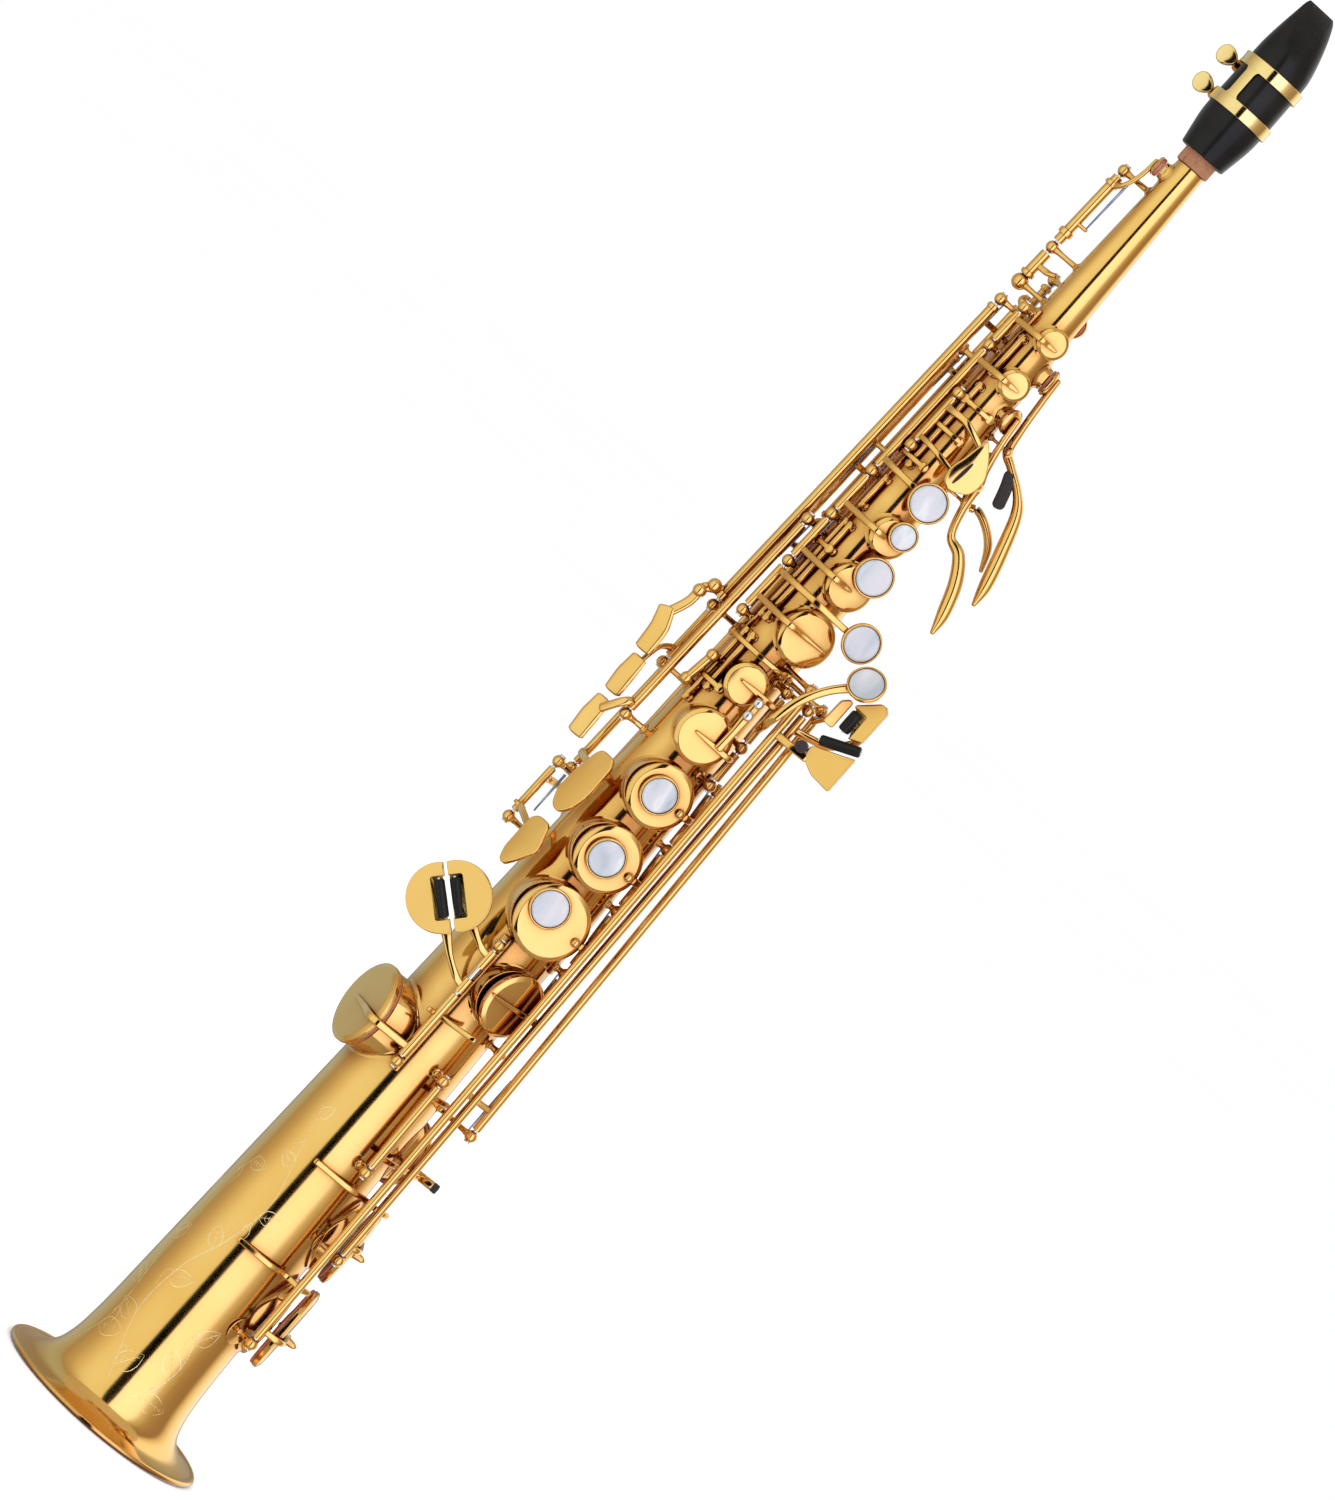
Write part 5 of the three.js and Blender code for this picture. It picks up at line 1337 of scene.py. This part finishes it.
def posts_and_ribs():
    for line, heights in LINES_OF_POSTS.items():
        skin = Skin()
        for z in heights:
            size = 3.3 if (line, z) == ("upper_octave_key", 550) else BALL
            skin += post_skin(hinge_at(line, z), foot=WIDE_FEET.get((line, z), 2.3), radius=size)
        piece(f"posts.{line}", skin, "body", "body_brass")
        piece(f"rod.{line}", steel_line(line, heights[0], heights[-1]), "body", "screw_steel")
    piece("posts.low_c_key", post_skin(hinge_at("f_key", 203)), "body", "body_brass")
    for rib, (line, phi, low, high, heights) in RIBS.items():
        skin = bar([over(phi, 0.5, z) for z in (low - 0.4, (low + high) / 2, high + 0.4)],
                   4.4, 1.5, None, 3, 5)
        for z in heights:
            skin += post_skin(hinge_at(line, z), 0.6, 1.9)
        piece(f"{rib}.strip_and_posts", skin, "body", "body_brass", [rib])
        piece(f"rod.{rib}", steel_line(line, heights[0], heights[-1]), "body", "screw_steel")
    springs = Skin()
    for line, z, length in NEEDLES:
        springs += needle(line, z, length)
    way = (hinge_at("upper_octave_key", 583) - hinge_at("upper_octave_key", 600)).normalized()
    start = hinge_at("upper_octave_key", 604) + Vector((4.6, -2.2, 0))
    springs += turned([(0, 0), (0.6, 0), (0.52, 12), (0.36, 24), (0, 24)], start, way, 12, 0.05, 1)
    start = hinge_at("high_g_lever", 298) + Vector((5.2, -1.6, 0))
    springs += turned([(0, 0), (0.6, 0), (0.5, 9), (0.36, 18), (0, 18)], start, (0, 0, -1), 12, 0.05, 1)
    piece("needle_springs", springs, "body", "spring_steel")
    posts = Skin()
    for name in ("palm_f_key", "palm_e_flat_key", "palm_d_key"):
        pivot, _ = palm_hinge(name)
        for side in (-PALM_POST_ASIDE, PALM_POST_ASIDE):
            posts += post_skin(pivot + Vector((0, side, 0)), -0.3, 1.7, 1.45)
    piece("posts.palm_keys", posts, "body", "body_brass")


# ---------------------------------------------------------------- what the thumbs and strap use
BACK = 180


def back_fittings():
    hook_plate = plate(oval(5, 9), facing(over(BACK, 0.1, 292), outward(BACK)), 1.6, 0.5)
    curve = [over(BACK, 1, 296), over(BACK, 8, 297), over(BACK, 15, 294), over(BACK, 20, 288),
             over(BACK, 21.5, 281)]
    piece("thumb_hook.brass", hook_plate + bar(curve, [7, 8, 10, 11, 9], 2, (0, 0, 1), 8, 3.2), "body",
          "key_brass", ["thumb_hook"])
    screws = turned([(0, 0), (1.4, 0), (1.4, 0.8), (0.9, 1.2), (0, 1.2)], over(BACK, 1.6, 286.4),
                    outward(BACK), 24, 0.2)
    piece("thumb_hook.screw", screws, "body", "screw_steel")
    piece("thumb_rest.ebonite", turned([(0, 0), (6.6, 0), (7, 1.6), (5, 3), (2.5, 3.5), (0, 3.4)],
                                       over(BACK, 0.1, 401), outward(BACK), 56, 0.6), "body", "ebonite",
          ["thumb_rest"])
    middle = over(BACK, 6.2, 334)
    ring = []
    for a in circle(48):
        spoke = Vector((0, math.cos(a), math.sin(a)))
        ring.append([middle + spoke * (4.6 + 1.1 * math.cos(t)) + Vector((1.1 * math.sin(t), 0, 0))
                     for t in circle(16)])
    base = plate(oval(4, 7), facing(over(BACK, 0.1, 334), outward(BACK)), 1.3, 0.4)
    piece("strap_ring.brass", base + loft(ring, True), "body", "key_brass", ["strap_ring"])


# ---------------------------------------------------------------- cork, mouthpiece and ligature
def neck_cork():
    profile = [(TENON_RADIUS, BODY_TOP + 0.1), (7.0, BODY_TOP + 0.1), (7.2, BODY_TOP + 1.2), (7.15, 636),
               (7.2, 645), (6.6, 646), (TENON_RADIUS, 646), (TENON_RADIUS, BODY_TOP + 0.1)]
    piece("neck_cork.sleeve", turned(profile, Vector((0, 0, 0)), (0, 0, 1), 72, 0.3), "body", "cork",
          ["neck_cork"])


MOUTH_TURN = Matrix.Rotation(math.radians(-72), 4, "Z")
# height, beak side, table side, half width
MOUTH_SECTIONS = [
    (629, 9.8, 9.8, 9.8), (632, 10.3, 10.3, 10.3), (641, 11.8, 11.6, 11.8), (647, 12.2, 11.8, 12.2),
    (658, 12.1, 11.2, 12.2), (672, 11.2, 10.6, 12), (678, 9.4, 10.4, 11.6), (686, 5.2, 10.2, 10.2),
    (693, 0.4, 9.9, 8.6), (698, -4.6, 9.6, 7.2), (700, -7.2, 9.2, 6),
]


def mouthpiece():
    """The mouthpiece: round body, sloped beak, flat table with its window, and the bore."""
    sections = smooth([Vector(s) for s in MOUTH_SECTIONS], 5)
    first = [(629.0, 9.2), (629.12, 9.5), (629.5, 9.75)]
    rings = []
    for z, beak, table, half in [(z, r, r, r) for z, r in first] + [tuple(s) for s in sections[1:]]:
        middle, deep = (beak - table) / 2, (beak + table) / 2
        rings.append([Vector((middle + deep * math.cos(a), half * math.sin(a), z))
                      for a in circle(96)])
    made = piece("mouthpiece.body", loft(rings), "mouthpiece", "ebonite", ["mouthpiece"], MOUTH_TURN, 40)
    bore = turned([(0, 0), (7.3, 0), (7.3, 21), (5, 24), (4.6, 45), (0, 47)], Vector((0, 0, 628.4)),
                  (0, 0, 1), 48, 0.4)
    window = loft([[MOUTH_TURN @ Vector((x, y, z)) for y, z in
                    [(-4.1, 660), (4.1, 660), (4.3, 676), (4.3, 699), (-4.3, 699), (-4.3, 676)]]
                   for x in (-14, -6)])
    cut(made, [bore, window])
    made.data.set_sharp_from_angle(angle=math.radians(40))


BAND_LOW, BAND_HIGH, BAND_WIDE = 648, 670.5, 5
BAND_INNER, BAND_OUTER = 12.4, 13.4
LUG_PHI = -135
SCREW_WAY = Vector((-0.68, -0.73, 0)).normalized()


def upright(phi0, phi1):
    """A strap between the two bands, which spreads into them in round corners."""
    low, high = BAND_LOW + BAND_WIDE - 0.6, BAND_HIGH - BAND_WIDE + 0.6
    middle, half = (phi0 + phi1) / 2, (phi1 - phi0) / 2
    per_mm = math.degrees(1 / BAND_OUTER)
    rings = []
    for share in (0, 0.02, 0.05, 0.09, 0.14, 0.2, 0.5, 0.8, 0.86, 0.91, 0.95, 0.98, 1):
        z = low + (high - low) * share
        near = min(share, 1 - share) * (high - low)
        flare = max(0, 2.4 - math.sqrt(max(0, 2.4 ** 2 - max(0, 2.4 - near) ** 2))) * per_mm
        span = half + flare
        steps = [middle + span * k / 6 for k in range(-6, 7)]
        rings.append([at(phi, BAND_OUTER, z) for phi in steps]
                     + [at(phi, BAND_INNER, z) for phi in steps[::-1]])
    return loft(rings)


def ligature():
    """Two bands and the upright straps between them, rolled edges, and the screws' barrels."""
    skin = Skin()
    for low in (BAND_LOW, BAND_HIGH - BAND_WIDE):
        high, lip = low + BAND_WIDE, BAND_OUTER + 0.15
        profile = [(BAND_INNER, low), (BAND_OUTER, low), (lip, low + 0.5), (BAND_OUTER, low + 1.1),
                   (BAND_OUTER, high - 1.1), (lip, high - 0.5), (BAND_OUTER, high), (BAND_INNER, high),
                   (BAND_INNER, low)]
        skin += turned(profile, Vector((0, 0, 0)), (0, 0, 1), 120, 0.2, 2)
    for phi0, phi1 in [(-43, -24), (146, 160), (205, 240)]:
        skin += upright(phi0, phi1)
    for z in SCREW_HEIGHTS.values():
        start = at(LUG_PHI, 15, z)
        for way in (-1, 1):
            skin += rod(start + SCREW_WAY * (way * 0.5), start + SCREW_WAY * (way * 3.4), 2.5, 0.4, 32)
        skin += rod(start - SCREW_WAY * 5.4, start + SCREW_WAY * 4, 1.3, 0.2)
    piece("ligature.bands", skin, "mouthpiece", "ligature_brass", ["ligature"])


SCREW_HEIGHTS = {"upper": 664, "lower": 650.5}
LEAF_TURNS = {"upper": 14, "lower": -22}          # how each screw stands in its turn


def ligature_screws():
    """Two thumbscrews with leaf-shaped heads."""
    for name, z in SCREW_HEIGHTS.items():
        start = at(LUG_PHI, 15, z) + SCREW_WAY * 3.6
        neck = start + SCREW_WAY * 4.4
        stem = turned([(0, 0), (1.5, 0), (1.5, 0.8), (1.1, 1.3), (1.1, 3.6), (1.9, 4.3), (1.9, 5.2),
                       (1.2, 6.2), (0, 6.4)], start, SCREW_WAY, 28, 0.3)
        out = Matrix.Rotation(math.radians(LEAF_TURNS[name]), 4, SCREW_WAY) @ outward(-8)
        middle = neck + SCREW_WAY * 2.6 - out * 0.8
        tear = [Vector((4.3 * math.cos(a), (3.9 - 0.9 * math.cos(a)) * math.sin(a)))
                for a in circle(48)]
        leaf = plate(tear, facing(middle, out), 1.6, 0.6, 0.35)
        piece(f"ligature_screw_{name}.leaf", stem + leaf, f"ligature_screw_{name}", "ligature_brass",
              [f"ligature_screw_{name}"])


# ---------------------------------------------------------------- studio
def sheet_light(name, azimuth, spread_of, radiance, low=0.1, high=2.8, distance=2.6):
    """An upright soft light that faces the instrument, `spread_of` degrees wide as seen from it."""
    a = math.radians(azimuth)
    data = bpy.data.lights.new(name, "AREA")
    data.shape = "RECTANGLE"
    data.size = 2 * distance * math.tan(math.radians(spread_of / 2))
    data.size_y = high - low
    data.energy = radiance * math.pi * data.size * data.size_y
    lamp = into_scene(name, data)
    lamp.location = (distance * math.sin(a), -distance * math.cos(a), (low + high) / 2)
    lamp.rotation_euler = (math.radians(90), 0, a)
    lamp.visible_camera = False


# What the polished pieces mirror, all round the instrument: azimuth from the front towards +X; how bright
# the surround is there; its green and blue beside red. This is not a neutral light. It was set so that the
# brass shows the bands and tints of the photograph, which supports only what the front mirrors.
SURROUND = [
    (-90, 0.60, 0.93, 0.77), (-72, 0.80, 1.0, 0.85), (-56, 0.96, 1.05, 0.97), (-41, 0.98, 1.10, 1.05),
    (-11.5, 0.98, 1.06, 0.95), (-9.5, 0, 1, 1), (5.5, 0, 1, 1), (7.5, 1.60, 1.0, 1.25),
    (26, 1.60, 1.0, 1.25), (36, 1.50, 1.05, 1.3), (48, 1.30, 1.1, 1.4), (58, 0.75, 0.98, 0.9),
    (72, 0.50, 0.82, 0.62), (89, 0.40, 0.79, 0.6), (104, 0.36, 0.80, 0.6), (116, 0.90, 0.95, 0.8),
    (132, 1.25, 1.0, 1.0), (154, 1.20, 1.0, 1.0), (166, 0.50, 1.0, 0.8), (178, 0.34, 0.9, 0.7),
    (194, 0.34, 0.9, 0.7), (206, 0.42, 1.1, 1.1), (218, 0.50, 1.2, 1.3), (240, 0.48, 1.18, 1.28),
    (250, 0.47, 0.90, 0.75), (270, 0.60, 0.93, 0.77),
]
SURROUND_TOP = 2.1               # over every brightness above, since a colour ramp stops at 1
DRUM_RADIUS, DRUM_LOW, DRUM_HIGH = 2.2, -2.2, 3.4


def surround_material():
    """Sheets of light and dark cards, side by side round the instrument."""
    made = bpy.data.materials.new("surround")
    made.use_nodes = True
    nodes = made.node_tree.nodes
    nodes.remove(nodes["Principled BSDF"])
    place = nodes.new("ShaderNodeTexCoord")
    bearing = nodes.new("ShaderNodeTexGradient")
    bearing.gradient_type = "RADIAL"
    link(made, place.outputs["Object"], bearing.inputs["Vector"])
    stops = [((azimuth + 90) / 360, tuple(light * share / SURROUND_TOP for share in (1, green, blue)))
             for azimuth, light, green, blue in SURROUND]
    glow = nodes.new("ShaderNodeEmission")
    glow.inputs["Strength"].default_value = SURROUND_TOP
    link(made, ramp(made, bearing.outputs["Fac"], stops), glow.inputs["Color"])
    link(made, glow.outputs["Emission"], nodes["Material Output"].inputs["Surface"])
    return made


def surround():
    """The drum of lights and cards that the polished pieces mirror, and nothing else sees."""
    ring = [Vector((math.cos(a), math.sin(a), 0)) for a in circle(90)]
    skin = loft([[p * DRUM_RADIUS + Vector((0, 0, z)) for p in ring] for z in (DRUM_LOW, DRUM_HIGH)])
    mesh = bpy.data.meshes.new("surround")
    mesh.from_pydata(skin.points, [], skin.faces)
    mesh.materials.append(surround_material())
    lid = material("surround_lid", (0.45, 0.42, 0.36), 0.9)
    mesh.materials.append(lid)
    for face in mesh.polygons[-2:]:
        face.material_index = 1
    made = into_scene("surround", mesh)
    for ray in ("camera", "diffuse", "shadow", "transmission", "volume_scatter"):
        setattr(made, "visible_" + ray, False)


def studio():
    floor_mesh = bpy.data.meshes.new("floor")
    rings = [[Vector((r * math.cos(a), r * math.sin(a), 0)) for a in circle(96)]
             for r in (0.01, 2, 6, 12)]
    skin = loft(rings)
    floor_mesh.from_pydata(skin.points, [], skin.faces[:-1])
    floor_mesh.materials.append(studio_floor())
    floor = into_scene("floor", floor_mesh)
    floor.visible_glossy = False
    surround()
    sheet_light("light_front_right", 32, 48, 1.3)
    sheet_light("light_front_left", -36, 46, 1.0)
    sheet_light("light_back_right", 142, 40, 1.3)
    sheet_light("light_back_left", 212, 26, 1.0)
    world = bpy.data.worlds.new("world")
    world.use_nodes = True
    background = world.node_tree.nodes["Background"]
    background.inputs["Color"].default_value = (1, 1, 1, 1)
    background.inputs["Strength"].default_value = 1.03
    bpy.context.scene.world = world


def build():
    body_tube()
    bell_engraving()
    posts_and_ribs()
    link_rods()
    back_fittings()
    neck_cork()
    mouthpiece()
    ligature()
    ligature_screws()
    left_hand_stack()
    front_f()
    palm_keys()
    octave_mechanism()
    g_sharp_and_f_sharp()
    right_hand_stack()
    little_finger_keys()
    low_keys()
    side_keys()
    high_keys()
    studio()


build()
bpy.context.scene.view_settings.view_transform = "Standard"
